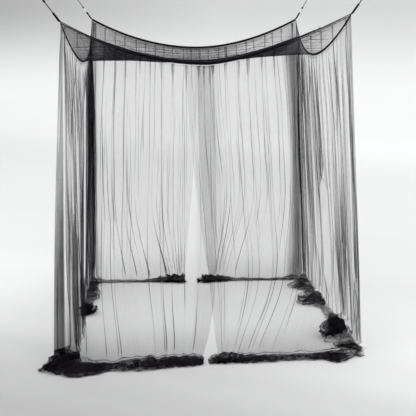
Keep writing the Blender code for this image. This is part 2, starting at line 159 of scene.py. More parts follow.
# A corner: which way its cord pulls, its tab's width and length, whether a clear link is between
# the tab and the cord, and the cord's length and diameter
Corner = namedtuple("Corner", "pull tab_width tab_length link cord_length cord_diameter")
CORNERS = {
    "front_left": Corner(Vector((-0.085, -0.085, 0.124)), 0.014, 0.056, False, 0.125, 0.006),
    "front_right": Corner(Vector((0.048, -0.048, 0.084)), 0.013, 0.060, False, 0.070, 0.006),
    "back_left": Corner(Vector((-0.113, 0.113, 0.152)), 0.009, 0.074, True, 0.105, 0.005),
    "back_right": Corner(Vector((0.109, 0.109, 0.156)), 0.009, 0.068, True, 0.105, 0.005),
}
TAB_START = 0.006
TAB_THICKNESS = 0.004
LINK_LENGTH = 0.044
LINK_WIDTH = 0.014
LINK_WIRE = 0.004
KNOT_LENGTH = 0.014
END_LOOP_LENGTH = 0.050
END_LOOP_WIDTH = 0.028
END_LOOP_CORD = 0.8
END_LOOP_START = 0.8
CORD_GAP = 0.0004
CORD_POINTS = 15

# ---------------------------- What only the sheets of net have ----------------------------
HANGING_ROWS = 58
HEM_ROWS = 60
ROWS_CLOSER = 0.07  # how far rows move towards the ends, as a share of the way down
COLUMN_STEP = 0.012  # width of flat net between two columns, more or less
EDGE_HEM = 0.005  # the doubled edge of a sheet
EDGE_HEM_LAYERS = 3.0
SEAM_SHARE = 0.012  # share of the way down that is doubled by the seam under the binding
SEAM_LAYERS = 1.5

# How a side's net is folded: how deep the solid's folds are kept, the flat width from one pleat to
# the next, how many thin creases there are for each pleat, how deep they stand off the net and how
# wide they are, how unevenly the net is doubled from pleat to pleat, and how many more layers of it
# are bunched in a pleat and in a crease
Style = namedtuple("Style", "fold_scale spacing extra depth mouth unevenness in_pleat in_crease")
STYLES = {
    "front": Style(0.45, 0.084, 0.9, (0.008, 0.020), (0.004, 0.008), 0.06, 0.5, (1.0, 6.0)),
    "back": Style(0.45, 0.084, 0.8, (0.008, 0.022), (0.004, 0.009), 0.06, 0.4, (1.0, 7.0)),
    "left": Style(1.0, 0.075, 0.8, (0.006, 0.014), (0.004, 0.010), 0.50, 0.3, (0.2, 2.4)),
    "right": Style(1.0, 0.075, 0.9, (0.006, 0.015), (0.004, 0.010), 0.50, 0.4, (0.2, 2.6)),
}
PLEAT_WIDTH = (0.009, 0.015)  # of the flat triple fold that a pleat is at the binding
PLEAT_OPENS = (0.06, 0.15)  # share of the way down by which it has opened into a thin crease
PLEAT_TURNS = [-1, -1 / 3, 1 / 3, 1]  # places across it where its net turns back
PLEAT_LAYER = 0.0012  # from one layer of a pleat to the next
PLEAT_SIDES = 0.4  # share of its layers that it has at its sides
PLEAT_JITTER = 0.15  # of its place, as a share of the way to the next
PLEAT_ENDS = (0.5, 0.8, 1.3, 1.3)  # shares of the way down: at one of them its crease ends
CREASE_STARTS = (0.0, 0.45)  # shares of the way down where a crease between the pleats starts
CREASE_ENDS = (0.6, 1.3)
CREASE_RISE = 0.10  # share of the way down over which a crease comes and goes
CREASE_FADES = (0.97, 1.0)  # shares of the way down between which all creases fade
# Between which shares of the way down a crease of a half wall gathers more net, and how much more
CREASE_GATHERS = (0.62, 0.95)
CREASE_GATHERED = 2.2
CREASE_STEPS = 6
CREASE_APART = 0.010
CREASE_END_MARGIN = 0.02  # no crease within this of a sheet's end
CREASE_FLATTER = 0.7  # how much flatter it is at a loose end
TWIN_CHANCE = 0.4  # of a second crease beside one between the pleats
TWIN_APART = (0.012, 0.022)
# How far a fold strays sideways on its way down, of how many waves that is made, how many of each
# there are across a wall and down it, between which shares of the way down it comes, and how
# sharply it fades at a wall's ends
WANDER = 0.008
WANDER_WAVES = 7
WANDER_ACROSS = (4, 26)
WANDER_DOWN = (0.4, 2.2)
WANDER_STARTS = (0.0, 0.35)
WANDER_AT_ENDS = 0.3
# How unevenly deep the folds are, and how the creases come and go: in how many waves across a wall
# and down it
Waves = namedtuple("Waves", "strength across down")
FOLD_WAVES = Waves(0.30, 5.3, 1.3)
CREASE_WAVES = Waves(0.32, 17, 2.1)

BULGE = 0.013  # how far the front left corner stands out at the middle of its height
BULGE_ENDS = 0.06  # share of either wall by which that has faded
BULGING = ("front_left", "side_left")

# How far the folds are swept along the wall by the floor, as a share of the side, and where on the
# way down that starts. It would end a little below the floor, grows along a curve of this power,
# and fades at a wall's ends by the other.
Swept = namedtuple("Swept", "shift starts")
SWEPT = {
    "front_left": Swept(0.060, 0.62),
    "front_right": Swept(-0.125, 0.60),
    "back_left": Swept(0.110, 0.55),
    "back_right": Swept(-0.140, 0.50),
    "side_left": Swept(0.0, 0.6),
    "side_right": Swept(0.0, 0.6),
}
SWEEP_ENDS = 1.08
SWEEP_POWER = 1.5
SWEEP_AT_ENDS = 1.2

# The side walls hang in sheaves with gaps that show from the front: at which share of the wall, how
# wide, and between which shares of the way down
Gap = namedtuple("Gap", "share width top bottom")
GAPS = {
    "side_left": [
        Gap(0.047, 0.006, 0.02, 0.99), Gap(0.13, 0.007, 0.25, 0.65), Gap(0.30, 0.006, 0.20, 0.85),
        Gap(0.60, 0.014, 0.05, 0.97),
    ],
    "side_right": [
        Gap(0.075, 0.012, 0.10, 0.90), Gap(0.24, 0.007, 0.20, 0.80), Gap(0.34, 0.010, 0.12, 0.75),
        Gap(0.48, 0.060, 0.40, 0.99), Gap(0.66, 0.015, 0.08, 0.90), Gap(0.83, 0.012, 0.15, 0.95),
    ],
}
GAP_SOFTNESS = 0.004
GAP_OPENS = 0.12  # share of the way down over which a gap opens and closes

# How many layers of net hang together, by the share of the side. The net is bunched at the back
# corners and where the front halves overlap.
FRONT_LAYERS = [
    (0.0, 0.8), (0.015, 0.9), (0.455, 0.9), (0.466, 1.8), (0.526, 1.8), (0.537, 0.9), (0.95, 0.9),
    (0.985, 1.2), (1.0, 1.8),
]
FRONT_FOOT = [(0.0, 2.7), (1.0, 3.0)]
BACK_HIGH = [(0.0, 24.0), (0.008, 16.0), (0.014, 3.0), (0.03, 1.0), (0.93, 1.0), (1.0, 2.5)]
BACK_LOW = [
    (0.0, 8.0), (0.015, 6.5), (0.03, 1.8), (0.06, 1.0), (0.925, 1.0), (0.950, 5.0), (0.970, 13.0),
    (1.0, 13.0),
]
BACK_FOOT = [(0.0, 12.0), (0.03, 2.6), (0.06, 1.8), (0.925, 1.8), (0.97, 13.0), (1.0, 13.0)]
LEFT_TOP = [
    (0.0, 0.7), (0.018, 3.5), (0.036, 2.5), (0.041, 0.3), (0.050, 0.3), (0.054, 4.0), (0.09, 3.0),
    (0.12, 0.8), (0.62, 0.5), (0.74, 2.2), (0.85, 3.5), (0.93, 5.5), (1.0, 9.0),
]
LEFT_HIGH = [
    (0.0, 0.7), (0.022, 1.2), (0.036, 4.2), (0.041, 0.3), (0.050, 0.3), (0.054, 1.6), (0.07, 1.0),
    (0.13, 0.9), (0.18, 0.4), (0.62, 0.4), (0.74, 2.0), (0.85, 3.4), (0.93, 5.5), (1.0, 9.0),
]
LEFT_LOW = [
    (0.0, 7.0), (0.02, 9.5), (0.036, 14.0), (0.041, 0.4), (0.050, 0.4), (0.054, 5.0), (0.07, 3.6),
    (0.13, 2.8), (0.18, 1.2), (0.62, 0.9), (0.74, 1.6), (0.85, 2.8), (1.0, 3.4),
]
LEFT_FOOT = [
    (0.0, 5.5), (0.02, 8.5), (0.036, 12.0), (0.041, 1.5), (0.046, 1.5), (0.052, 6.5), (0.14, 4.5),
    (0.19, 1.5), (0.62, 0.9), (0.74, 2.5), (1.0, 4.5),
]
RIGHT_HIGH = [
    (0.0, 1.2), (0.10, 0.7), (0.20, 0.35), (0.32, 0.4), (0.45, 0.8), (0.58, 1.5), (0.82, 1.6),
    (0.90, 2.6), (1.0, 4.5),
]
RIGHT_LOW = [
    (0.0, 2.4), (0.07, 2.2), (0.12, 1.3), (0.32, 1.2), (0.38, 0.6), (0.60, 0.45), (0.82, 0.9),
    (0.90, 2.4), (1.0, 4.2),
]
RIGHT_FOOT = [
    (0.0, 0.8), (0.07, 1.1), (0.32, 1.2), (0.38, 0.6), (0.60, 0.45), (0.82, 0.9), (0.90, 2.4),
    (1.0, 4.2),
]
# From which share of the way down each of those holds. It turns softly from the one before it.
LAYERS = {
    "front": [(0.88, FRONT_LAYERS), (1.0, FRONT_FOOT)],
    "back": [(0.03, BACK_HIGH), (0.12, BACK_LOW), (0.88, BACK_LOW), (1.0, BACK_FOOT)],
    "left": [(0.10, LEFT_TOP), (0.34, LEFT_HIGH), (0.75, LEFT_LOW), (0.95, LEFT_FOOT)],
    "right": [(0.42, RIGHT_HIGH), (0.75, RIGHT_LOW), (0.86, RIGHT_FOOT)],
}

# The hem: how many times it is wound, how small its middle is, how much lower than an even roll it
# has slumped, and how many layers lie together, by the share of the side
HEM_TURNS = 2.15
HEM_CORE = 0.42
HEM_SLUMP = 1.7
HEM_LAYERS = {
    "front": [
        (0.0, 1.5), (0.03, 4.5), (0.14, 5.0), (0.20, 2.4), (0.27, 2.8), (0.33, 5.0), (0.64, 4.5),
        (0.72, 2.4), (0.80, 2.0), (0.86, 3.5), (0.91, 4.0), (0.97, 1.0), (1.0, 0.8),
    ],
    "back": [(0.0, 2.0), (0.22, 2.2), (0.28, 4.5), (0.60, 5.0), (0.68, 2.6), (1.0, 2.0)],
    "left": [
        (0.0, 1.5), (0.03, 4.5), (0.11, 5.0), (0.16, 0.1), (0.53, 0.1), (0.57, 4.5), (0.64, 4.5),
        (0.68, 1.0), (0.82, 0.9), (0.88, 1.6), (1.0, 1.4),
    ],
    "right": [
        (0.0, 0.7), (0.04, 0.9), (0.07, 2.6), (0.11, 2.6), (0.14, 0.6), (0.215, 0.6), (0.25, 2.6),
        (0.35, 2.6), (0.41, 0.8), (0.55, 0.8), (0.60, 2.0), (0.72, 1.6), (0.77, 0.9), (0.82, 1.5),
        (1.0, 1.2),
    ],
}
# How much of its solid's height and of its reach inward and outward the hem has, where it lies
# more loosely
HEM_FULLNESS = {
    "front": [
        (0.00, 0.66, 1.0, 0.9), (0.035, 0.62, 1.0, 1.1), (0.07, 0.48, 1.0, 1.2),
        (0.12, 0.45, 1.0, 1.25), (0.20, 0.50, 1.0, 1.4), (0.27, 0.75, 1.0, 1.4),
        (0.45, 0.80, 1.0, 1.6), (0.55, 0.90, 1.0, 1.5), (0.70, 0.75, 1.0, 1.3),
        (0.80, 0.60, 1.0, 1.1), (0.90, 0.60, 1.0, 0.9), (1.00, 1.00, 1.0, 0.6),
    ],
    "back": [
        (0.00, 0.70, 1.0, 1.0), (0.22, 0.60, 1.0, 1.0), (0.28, 1.10, 1.0, 1.0),
        (0.36, 1.20, 1.0, 1.0), (0.42, 0.80, 1.0, 1.0), (0.50, 1.10, 1.0, 1.0),
        (0.60, 0.90, 1.0, 1.0), (0.70, 0.60, 1.0, 1.0), (1.00, 0.80, 1.0, 1.0),
    ],
    "left": [
        (0.00, 0.66, 1.0, 0.8), (0.05, 0.54, 0.4, 0.8), (0.09, 0.45, 0.35, 1.0),
        (0.54, 0.60, 0.4, 1.0), (0.58, 1.10, 1.0, 1.0), (0.68, 1.00, 1.0, 1.0),
        (1.00, 1.00, 1.0, 1.0),
    ],
    "right": [
        (0.00, 0.90, 0.8, 0.6), (0.05, 0.65, 1.2, 0.6), (0.10, 0.60, 1.5, 0.5),
        (0.15, 0.45, 1.1, 0.4), (0.20, 0.60, 0.9, 0.4), (0.27, 1.20, 1.1, 0.4),
        (0.36, 1.00, 1.1, 0.8), (0.50, 0.80, 1.0, 1.0), (0.60, 0.80, 1.4, 1.0),
        (0.72, 0.80, 1.4, 1.0), (1.00, 0.90, 1.0, 1.0),
    ],
}
# At the front left corner the wall hangs down beside its heap: to which share of the heap's height,
# by the share of the side
HANGS_LOWER = {
    "front": [(0.0, 0.35), (0.04, 0.40), (0.08, 1.0), (1.0, 1.0)],
    "left": [(0.0, 0.35), (0.04, 0.40), (0.08, 1.0), (1.0, 1.0)],
}
# Where a heap lies askew: by the share of the side, how far along the side it is drawn for each
# metre inward, and how far its top leans inward
HEM_ASKEW = {
    "right": [
        (0.00, 0.0, 0.0), (0.12, -0.3, 0.0), (0.21, -0.8, 0.02), (0.28, -0.9, 0.06),
        (0.34, -0.8, 0.05), (0.42, 0.0, 0.0), (1.00, 0.0, 0.0),
    ],
}
HEM_LEANS_FROM = 0.12  # share of its winding from which its top leans
# The hem's lumps, from coarse to fine: their size and how far they stand out, as a share of the
# hem's height where that is LUMP_HEIGHT or more, and of less where it is lower
LUMPS = [(0.075, 0.40), (0.032, 0.40)]
LUMP_HEIGHT = 0.08
# Its small sharp folds: their size and how far they stand out, as a share of the hem's height
SHARP_FOLDS = (0.026, 0.50)
SHARP_OCTAVES = 2
HEM_SEED = 4  # of lumps, folds and spots. At 0 they would be different each time.
LUMP_SHIFT = (3.7, 1.3, 5.1)  # how far apart in their noise two walls lie
SHARP_SHIFT = (2.3, 4.1, 1.7)
HEM_LOWEST = 0.0015  # above the floor
# Shares of its winding by which the hem has its full reach, its own height, and its lumps
HEM_REACHES = 0.06
HEM_GROWS = 0.1
HEM_LOOSENS = 0.15
# Where the hem has a dark crease along it, by the share of its winding, and in how many waves that
# strays. How wide it is, how far it strays, by what part of a wave it starts later than the one
# before, and how many times the hem's layers are in it besides
HEM_CREASES = [(0.10, 3), (0.22, 5), (0.36, 7), (0.52, 9), (0.70, 11), (0.97, 13)]
HEM_CREASE_WIDTH = 0.012
HEM_CREASE_STRAYS = 0.05
HEM_CREASE_LATER = 0.2
HEM_CREASE_LAYERS = 1.4
# Its thicker and thinner spots: their size, and the least and the range of its layers in them
HEM_SPOT = 0.028
HEM_THINNEST = 0.20
HEM_SPOT_RANGE = 2.8
HEM_BLEND = 0.12  # share of its winding over which the wall's layers turn into the hem's

# The size that each sheet was cut to: its width along the binding and its length
FLAT = {
    "front_left": (1.30, 2.70),
    "front_right": (1.35, 2.70),
    "back_left": (1.15, 2.50),
    "back_right": (1.20, 2.50),
    "side_left": (2.90, 2.60),
    "side_right": (2.90, 2.60),
    "top_panel": (1.85, 2.05),
}


def blend(start, end, share):
    """The number or array at a share of the way from start to end."""
    return start + (end - start) * share


def smooth(value, low, high):
    """0 below low, 1 above high, and a soft step between them."""
    share = np.clip((value - low) / (high - low), 0.0, 1.0)
    return share * share * (3 - 2 * share)


def table_value(rows, at, column):
    """A column of a table at values of its first column, in soft steps from row to row."""
    places = np.array([row[0] for row in rows])
    values = np.array([row[column] for row in rows])
    before = np.clip(np.searchsorted(places, at, side="left") - 1, 0, len(rows) - 2)
    share = smooth(at, places[before], places[before + 1])
    return blend(values[before], values[before + 1], share)


def edge_drop(edge, share):
    """How far a top edge hangs below the straight line between its corners."""
    start_z, end_z = TOP[edge.start][2], TOP[edge.end][2]
    to_start = np.clip(1 - share / edge.low_share, 0, None) ** edge.power_to_start
    to_end = np.clip((share - edge.low_share) / (1 - edge.low_share), 0, None) ** edge.power_to_end
    z = np.where(
        share < edge.low_share,
        blend(edge.low_z, start_z, to_start),
        blend(edge.low_z, end_z, to_end),
    )
    return blend(start_z, end_z, share) - z


def edge_point(side, share):
    """Points on the middle line of a side's binding."""
    edge = EDGES[side]
    share = np.asarray(share, float)
    point = blend(TOP[edge.start], TOP[edge.end], share[..., None])
    point = point - np.array(edge.outward) * (edge.bow * 4 * share * (1 - share))[..., None]
    point[..., 2] -= edge_drop(edge, share)
    return point


def foot_point(side, share):
    """Points on the line where a side's wall would meet the floor."""
    edge = EDGES[side]
    share = np.asarray(share, float)
    point = blend(FOOT[edge.start], FOOT[edge.end], share[..., None])
    if side in DRAWN_IN:
        point = point - np.array(edge.outward) * table_value(DRAWN_IN[side], share, 1)[..., None]
    return point


def along_of(side):
    """The direction in which a side's shares rise."""
    return np.array((1.0, 0, 0)) if side in ("front", "back") else np.array((0, 1.0, 0))


def outward_at(side, share):
    """The level direction out of the net, which turns to the diagonal at the corners."""
    turn = smooth(share, 1 - MITRE_SHARE, 1) - (1 - smooth(share, 0, MITRE_SHARE))
    direction = np.array(EDGES[side].outward, float) + along_of(side) * turn[..., None]
    return direction / np.linalg.norm(direction, axis=-1, keepdims=True)


def gathered(side, share, strength):
    """Where a share of the side lies once the folds have crowded into their bundles."""

    def crowd(at):
        moved = at
        for bundle in BUNDLES[side]:
            off = at - bundle.share
            moved = moved - strength * bundle.pull * off * np.exp(-((off / bundle.width) ** 2))
        return moved

    return crowd(share) - blend(crowd(0.0), crowd(1.0) - 1.0, share)


def near_free_end(wall, share_of_wall):
    """1 at the loose end of a half wall, and 0 well away from it."""
    if wall.free is None:
        return np.zeros_like(share_of_wall)
    return 1 - smooth(np.abs(share_of_wall - wall.free), FREE_END_FLAT, FREE_END_FADE)


def main_folds(name, wall):
    """The solid wall's ridges and hollows: (share of the wall, side of it, hem unevenness)."""
    chance = random.Random(name)
    count = 2 * wall.folds
    columns = []
    for number in range(count + 1):
        inside = 0 < number < count
        shift = chance.uniform(-FOLD_JITTER, FOLD_JITTER) * inside
        depth = 1 + chance.uniform(-FOLD_UNEVENNESS, FOLD_UNEVENNESS)
        depth *= float(smooth(min(number, count - number) / count, 0.0, FOLD_END_FADE))
        ridge = 1 if number % 2 else -1
        hem = 1 + chance.uniform(-HEM_UNEVENNESS, HEM_UNEVENNESS) * inside
        columns.append(((number + shift) / count, ridge * depth, hem))
    return columns


# ----------------------------------- The sheets of net ------------------------------------
# A thin fold: its share of the wall, how far it stands off the net, how wide it is, the width of the
# pleat that it opens from (0 if it starts lower down), by which share of the way down that has
# opened, between which shares of the way down the fold is there, and how many more layers it has
Crease = namedtuple("Crease", "share depth mouth pleat opens starts ends layers")
NO_CREASE = Crease(0.0, 0.0, 0.0, 0.0, 1.0, 0.0, 1.0, 0.0)
Column = namedtuple("Column", "share place crease layers")  # place is -1 to 1 across its crease


def wall_width(wall):
    """How wide the wall is between its ends."""
    edge = EDGES[wall.side]
    return float(np.linalg.norm(FOOT[edge.end] - FOOT[edge.start])) * (wall.top[1] - wall.top[0])


def thin_creases(name, wall):
    """The wall's pleats, each of which turns into a crease lower down, and the creases between."""
    chance = random.Random(name + " creases")
    style = STYLES[wall.side]
    width = wall_width(wall)
    count = round(width / style.spacing)
    creases = []

    def add(share, pleat, starts, ends):
        margin = CREASE_END_MARGIN / width
        if any(abs(share - other.share) < CREASE_APART / width for other in creases):
            return
        if margin < share < 1 - margin:
            depth = chance.uniform(*style.depth) * chance.choice((-1, 1))
            mouth, opens = chance.uniform(*style.mouth), chance.uniform(*PLEAT_OPENS)
            layers = chance.uniform(*style.in_crease)
            creases.append(Crease(share, depth, mouth, pleat, opens, starts, ends, layers))

    for number in range(count):
        centre = (number + 0.5 + chance.uniform(-PLEAT_JITTER, PLEAT_JITTER)) / count
        add(centre, chance.uniform(*PLEAT_WIDTH), 0.0, chance.choice(PLEAT_ENDS))
    for number in range(round(count * style.extra)):
        starts, ends = chance.uniform(*CREASE_STARTS), chance.uniform(*CREASE_ENDS)
        centre = chance.random()
        add(centre, 0.0, starts, ends)
        if chance.random() < TWIN_CHANCE:
            add(centre + chance.uniform(*TWIN_APART) / width, 0.0, starts, ends)
    return creases


def sheet_columns(name, wall):
    """The columns of a wall's sheet, which follow its threads from the binding to the hem."""
    chance = random.Random(name + " columns")
    creases = thin_creases(name, wall)
    width = wall_width(wall)
    uneven = STYLES[wall.side].unevenness
    pleats = round(width / STYLES[wall.side].spacing)
    doubled = [(number / pleats, 1 + chance.uniform(-uneven, uneven)) for number in range(pleats + 1)]
    count = round(width / COLUMN_STEP)
    shares = [number / count for number in range(count + 1)]
    shares += [EDGE_HEM / width, 1 - EDGE_HEM / width]
    columns = []
    for share in shares:
        if all(abs(share - crease.share) * width > crease.mouth for crease in creases):
            columns.append((share, 0.0, NO_CREASE))
    for crease in creases:
        for step in range(CREASE_STEPS + 1):
            place = 2 * step / CREASE_STEPS - 1
            columns.append((crease.share + place * crease.mouth / 2 / width, place, crease))
    columns.sort()
    layers = table_value(doubled, np.array([column[0] for column in columns]), 1)
    return [Column(*column, layer) for column, layer in zip(columns, layers)]


def row_shares():
    """The hanging rows' shares of the way down, closer together at both ends."""
    even = np.linspace(0, 1, HANGING_ROWS)
    return even - ROWS_CLOSER * np.sin(2 * np.pi * even)


def wander(name, share, down):
    """How far the folds stray along the wall, different for each and changing on the way down."""
    chance = random.Random(name + " wander")
    total = np.zeros(np.broadcast(share, down).shape)
    for _ in range(WANDER_WAVES):
        across, way = chance.uniform(*WANDER_ACROSS), chance.uniform(*WANDER_DOWN)
        phase = chance.uniform(0, 2 * math.pi)
        total += np.sin(2 * math.pi * (across * share + way * down) + phase) / WANDER_WAVES
    return total * WANDER * 2 * smooth(down, *WANDER_STARTS)


def waves(wave, share, down):
    """A wave's strength either way, by where it is across a wall and down it."""
    return wave.strength * np.sin(2 * np.pi * (down * wave.down + share * wave.across))


def swept_shift(name, share, down):
    """How far the floor sweeps the folds along the side, none at either end of the wall."""
    swept = SWEPT[name]
    bump = np.sin(np.pi * np.clip(share, 0, 1)) ** SWEEP_AT_ENDS
    return swept.shift * bump * smooth(down, swept.starts, SWEEP_ENDS) ** SWEEP_POWER


def wall_line(wall, share, down):
    """Points on the wall's middle surface, where neither folds nor layers move it."""
    return blend(edge_point(wall.side, share), foot_point(wall.side, share), down[..., None])


def keep_gaps(name, wall, points, share, down):
    """Moves the net to either side of its gaps, by its share, along the look from the front."""
    for gap in GAPS.get(name, ()):
        centre = wall_line(wall, np.full_like(down, gap.share), down)
        sight = centre[..., :2] - np.array(CAMERA_PLACE[:2])
        sight = sight / np.linalg.norm(sight, axis=-1, keepdims=True)
        normal = np.stack([-sight[..., 1], sight[..., 0], np.zeros_like(down)], axis=-1)
        normal = normal if wall.side == "left" else -normal
        side = np.where(share < gap.share, 1.0, -1.0)
        opened = smooth(down, gap.top, gap.top + GAP_OPENS)
        opened = opened * (1 - smooth(down, gap.bottom - GAP_OPENS, gap.bottom))
        off = ((points - centre) * normal).sum(axis=-1) * side - gap.width / 2 * opened
        clear = 0.5 * (off + np.sqrt(off**2 + GAP_SOFTNESS**2))
        points = points + normal * (side * (clear - off) * opened)[..., None]
    return points


def layers_at(side, share, down):
    """How many layers of net hang together at shares of the side and of the way down."""
    tables = LAYERS[side]
    layers = table_value(tables[0][1], share, 1)
    for (before, _), (after, table) in zip(tables, tables[1:]):
        layers = blend(layers, table_value(table, share, 1), smooth(down, before, after))
    return layers


def lies_at(name, wall, share):
    """Where on its side each thread comes to lie, swept along by the floor."""
    return blend(*wall.hem, share) + swept_shift(name, share, 1.0)


def hanging_lines(name, wall, share, down):
    """The net before it is folded: at which shares of its side it hangs, and its points."""
    top_share, foot_share = blend(*wall.top, share), blend(*wall.hem, share)
    crowding = smooth(down, *CROWDING_STARTS)
    at = gathered(wall.side, blend(top_share, foot_share, down**wall.sweep), crowding)
    at = at + swept_shift(name, share, down)
    point = wall_line(wall, at, down + 0 * at)
    top_z = edge_point(wall.side, top_share)[..., 2] - TAPE_HEIGHT / 2 - WALL_GAP
    lies = lies_at(name, wall, share)
    foot_z = table_value(HEMS[wall.side], lies, 3)
    if wall.side in HANGS_LOWER:
        foot_z = foot_z * table_value(HANGS_LOWER[wall.side], lies, 1)
    point[..., 2] = blend(top_z, foot_z, down)
    return at, point


def main_depths(name, wall, share, down):
    """How far out the main folds, the overlap of two halves and a corner's bulge bring the net."""
    fold = table_value(main_folds(name, wall), share, 1) * STYLES[wall.side].fold_scale
    free = near_free_end(wall, share)
    free_depth = FREE_END_DEPTH * smooth(down, *FREE_END_DEPTH_GROWS)
    depth = blend(table_value(FOLD_DEPTHS, down, 1), free_depth, free)
    parted = blend(TOP_LAYER, 1.0, smooth(down, *PARTING)) * (1 - smooth(down, *MEETING))
    layer = wall.layer * free * OVERLAP_LAYER * parted
    bulge = BULGE * np.sin(np.pi * down) * (1 - smooth(share, 0, BULGE_ENDS)) * (name in BULGING)
    return layer + fold * depth * (1 + waves(FOLD_WAVES, share, down)) + bulge


def thin_folds(wall, columns, share, down):
    """How far out and sideways the pleats and creases bring the net, and the layers in them."""
    place = np.array([column.place for column in columns])[None, :]
    crease = [np.array(values)[None, :] for values in zip(*(column.crease for column in columns))]
    _, depth, _, pleat, opens, starts, ends, layers = crease
    middle = 1 - np.abs(place)
    pleated = (1 - smooth(down, 0.0, opens)) * (pleat > 0)
    there = np.maximum(smooth(down, starts, starts + CREASE_RISE), (pleat > 0) * 1.0)
    there = there * (1 - smooth(down, ends - CREASE_RISE, ends)) * (1 - pleated)
    there = there * (1 - smooth(down, *CREASE_FADES))
    there = there * (1 - CREASE_WAVES.strength + waves(CREASE_WAVES, share, down))
    out = middle * depth * there * (1 - CREASE_FLATTER * near_free_end(wall, share))
    out = out + np.interp(place, PLEAT_TURNS, [0, 1, -1, 0]) * pleated * PLEAT_LAYER
    sideways = np.interp(place, PLEAT_TURNS, [-1, 1, -1, 1]) * pleated * pleat / 2
    bolder = 1 + CREASE_GATHERED * smooth(down, *CREASE_GATHERS) * (wall.free is not None)
    in_pleat = STYLES[wall.side].in_pleat * blend(PLEAT_SIDES, 1.0, middle)
    return out, sideways, layers * bolder * middle * there + in_pleat * pleated


def hanging_points(name, wall, columns, down):
    """The hanging part of a wall, as (rows, columns, 3), and how many layers of net it stands for."""
    share = np.array([column.share for column in columns])[None, :]
    down = down[:, None]
    at, point = hanging_lines(name, wall, share, down)
    out, sideways, thin_layers = thin_folds(wall, columns, share, down)
    out = out + main_depths(name, wall, share, down)
    sideways = sideways + wander(name, share, down) * np.sin(np.pi * share) ** WANDER_AT_ENDS
    point = point + outward_at(wall.side, at) * out[..., None]
    point = point + along_of(wall.side) * sideways[..., None]
    point = keep_gaps(name, wall, point, at[-1:], down + 0 * share)

    layers = layers_at(wall.side, blend(*wall.top, share), down)
    layers = layers * np.array([column.layers for column in columns])[None, :]
    layers = layers + thin_layers + SEAM_LAYERS * (1 - smooth(down, 0.0, SEAM_SHARE))
    if wall.free is not None:
        from_end = np.abs(share - wall.free) * wall_width(wall)
        layers = layers + EDGE_HEM_LAYERS * (from_end < EDGE_HEM / 2)
    return point, layers


def hem_section(turned):
    """Where the wound hem is at a share of its winding: (reach, height) in shares of its size."""
    turn = 2 * np.pi * turned * HEM_TURNS
    size = blend(1.0, HEM_CORE, turned)
    reach = -np.sin(turn) * size * smooth(turned, 0.0, HEM_REACHES)
    height = (0.5 + 0.5 * np.cos(turn) * size) ** HEM_SLUMP
    return reach, height


def noise_at(points, size, shift, kind):
    """The noise of a kind at each point, as an offset of up to about 1."""
    offset = np.zeros_like(points)
    for index in np.ndindex(points.shape[:-1]):
        offset[index] = kind(Vector(points[index]) / size + shift)
    return offset


def crumple(points, size, seed):
    """Soft lumps of a given size."""
    shift = Vector([seed * part for part in LUMP_SHIFT])
    return noise_at(points, size, shift, noise.noise_vector)


def sharp_folds(points, size, seed):
    """Small sharp folds of a given size."""
    shift = Vector([seed * part for part in SHARP_SHIFT])
    offset = noise_at(points, size, shift, lambda at: noise.turbulence_vector(at, SHARP_OCTAVES, True))
    return offset - offset.mean(axis=(0, 1))


def wound_hem(name, wall, share, turned):
    """The wound hem before it is crumpled: its points, and how tall it is."""
    folds = main_folds(name, wall)
    unevenness = np.interp(share, [fold[0] for fold in folds], [fold[2] for fold in folds])
    reach, height = hem_section(turned)
    lies = lies_at(name, wall, share)
    size = [table_value(HEMS[wall.side], lies, column) * unevenness for column in (1, 2, 3)]
    fuller = [table_value(HEM_FULLNESS[wall.side], lies, column) for column in (1, 2, 3)]
    inward, outward = size[0] * fuller[1], size[1] * fuller[2]
    tall = size[2] * blend(1.0, fuller[0], smooth(turned, 0.0, HEM_GROWS))

    slide = wall.drag * near_free_end(wall, share) * (1 - height)
    at = gathered(wall.side, blend(*wall.hem, share), blend(HEM_CROWDING, 1.0, height)) + slide
    at = at + swept_shift(name, share, 1.0)
    distance = np.where(reach < 0, reach * inward, reach * outward)
    distance = distance + table_value(folds, share, 1) * HEM_FOLD_DEPTH * height
    drawn = np.zeros_like(distance)
    if wall.side in HEM_ASKEW:
        slant, lean = (table_value(HEM_ASKEW[wall.side], lies, column) for column in (1, 2))
        drawn = -slant * distance
        distance = distance - lean * height * smooth(turned, 0.0, HEM_LEANS_FROM)
    point = foot_point(wall.side, at) + outward_at(wall.side, at) * distance[..., None]
    point = point + along_of(wall.side) * drawn[..., None]
    point[..., 2] = tall * height
    return point, tall


def hem_spots(name, share, turned, point):
    """How many times its layers the hem has at its thicker and thinner spots and dark creases."""
    spots = HEM_THINNEST + HEM_SPOT_RANGE * np.abs(crumple(point, HEM_SPOT, len(name))[..., 0])
    for number, (crease, count) in enumerate(HEM_CREASES):
        phase = number * HEM_CREASE_LATER
        stray = HEM_CREASE_STRAYS * np.sin(2 * np.pi * (share * count + phase))
        off = (turned - crease - stray) / HEM_CREASE_WIDTH
        spots = spots + HEM_CREASE_LAYERS * np.exp(-(off**2))
    return spots


def hem_points(name, wall, columns):
    """The part of a wall that lies wound and crumpled on the floor, and its layers of net."""
    share = np.array([column.share for column in columns])[None, :]
    turned = np.linspace(0, 1, HEM_ROWS + 1)[1:, None]
    point, tall = wound_hem(name, wall, share, turned)
    lumpy = np.minimum(tall, LUMP_HEIGHT) ** 2 / LUMP_HEIGHT
    loose = smooth(turned, 0.0, HEM_LOOSENS) * lumpy
    for number, (size, amount) in enumerate(LUMPS):
        seed = len(name) + wall.folds + number
        point += crumple(point, size, seed) * (amount * loose)[..., None]
    size, amount = SHARP_FOLDS
    point += sharp_folds(point, size, len(name)) * (amount * loose)[..., None]
    point[..., 2] = np.clip(point[..., 2], HEM_LOWEST, None)
    layers = table_value(HEM_LAYERS[wall.side], lies_at(name, wall, share), 1)
    return point, layers * hem_spots(name, share, turned, point)


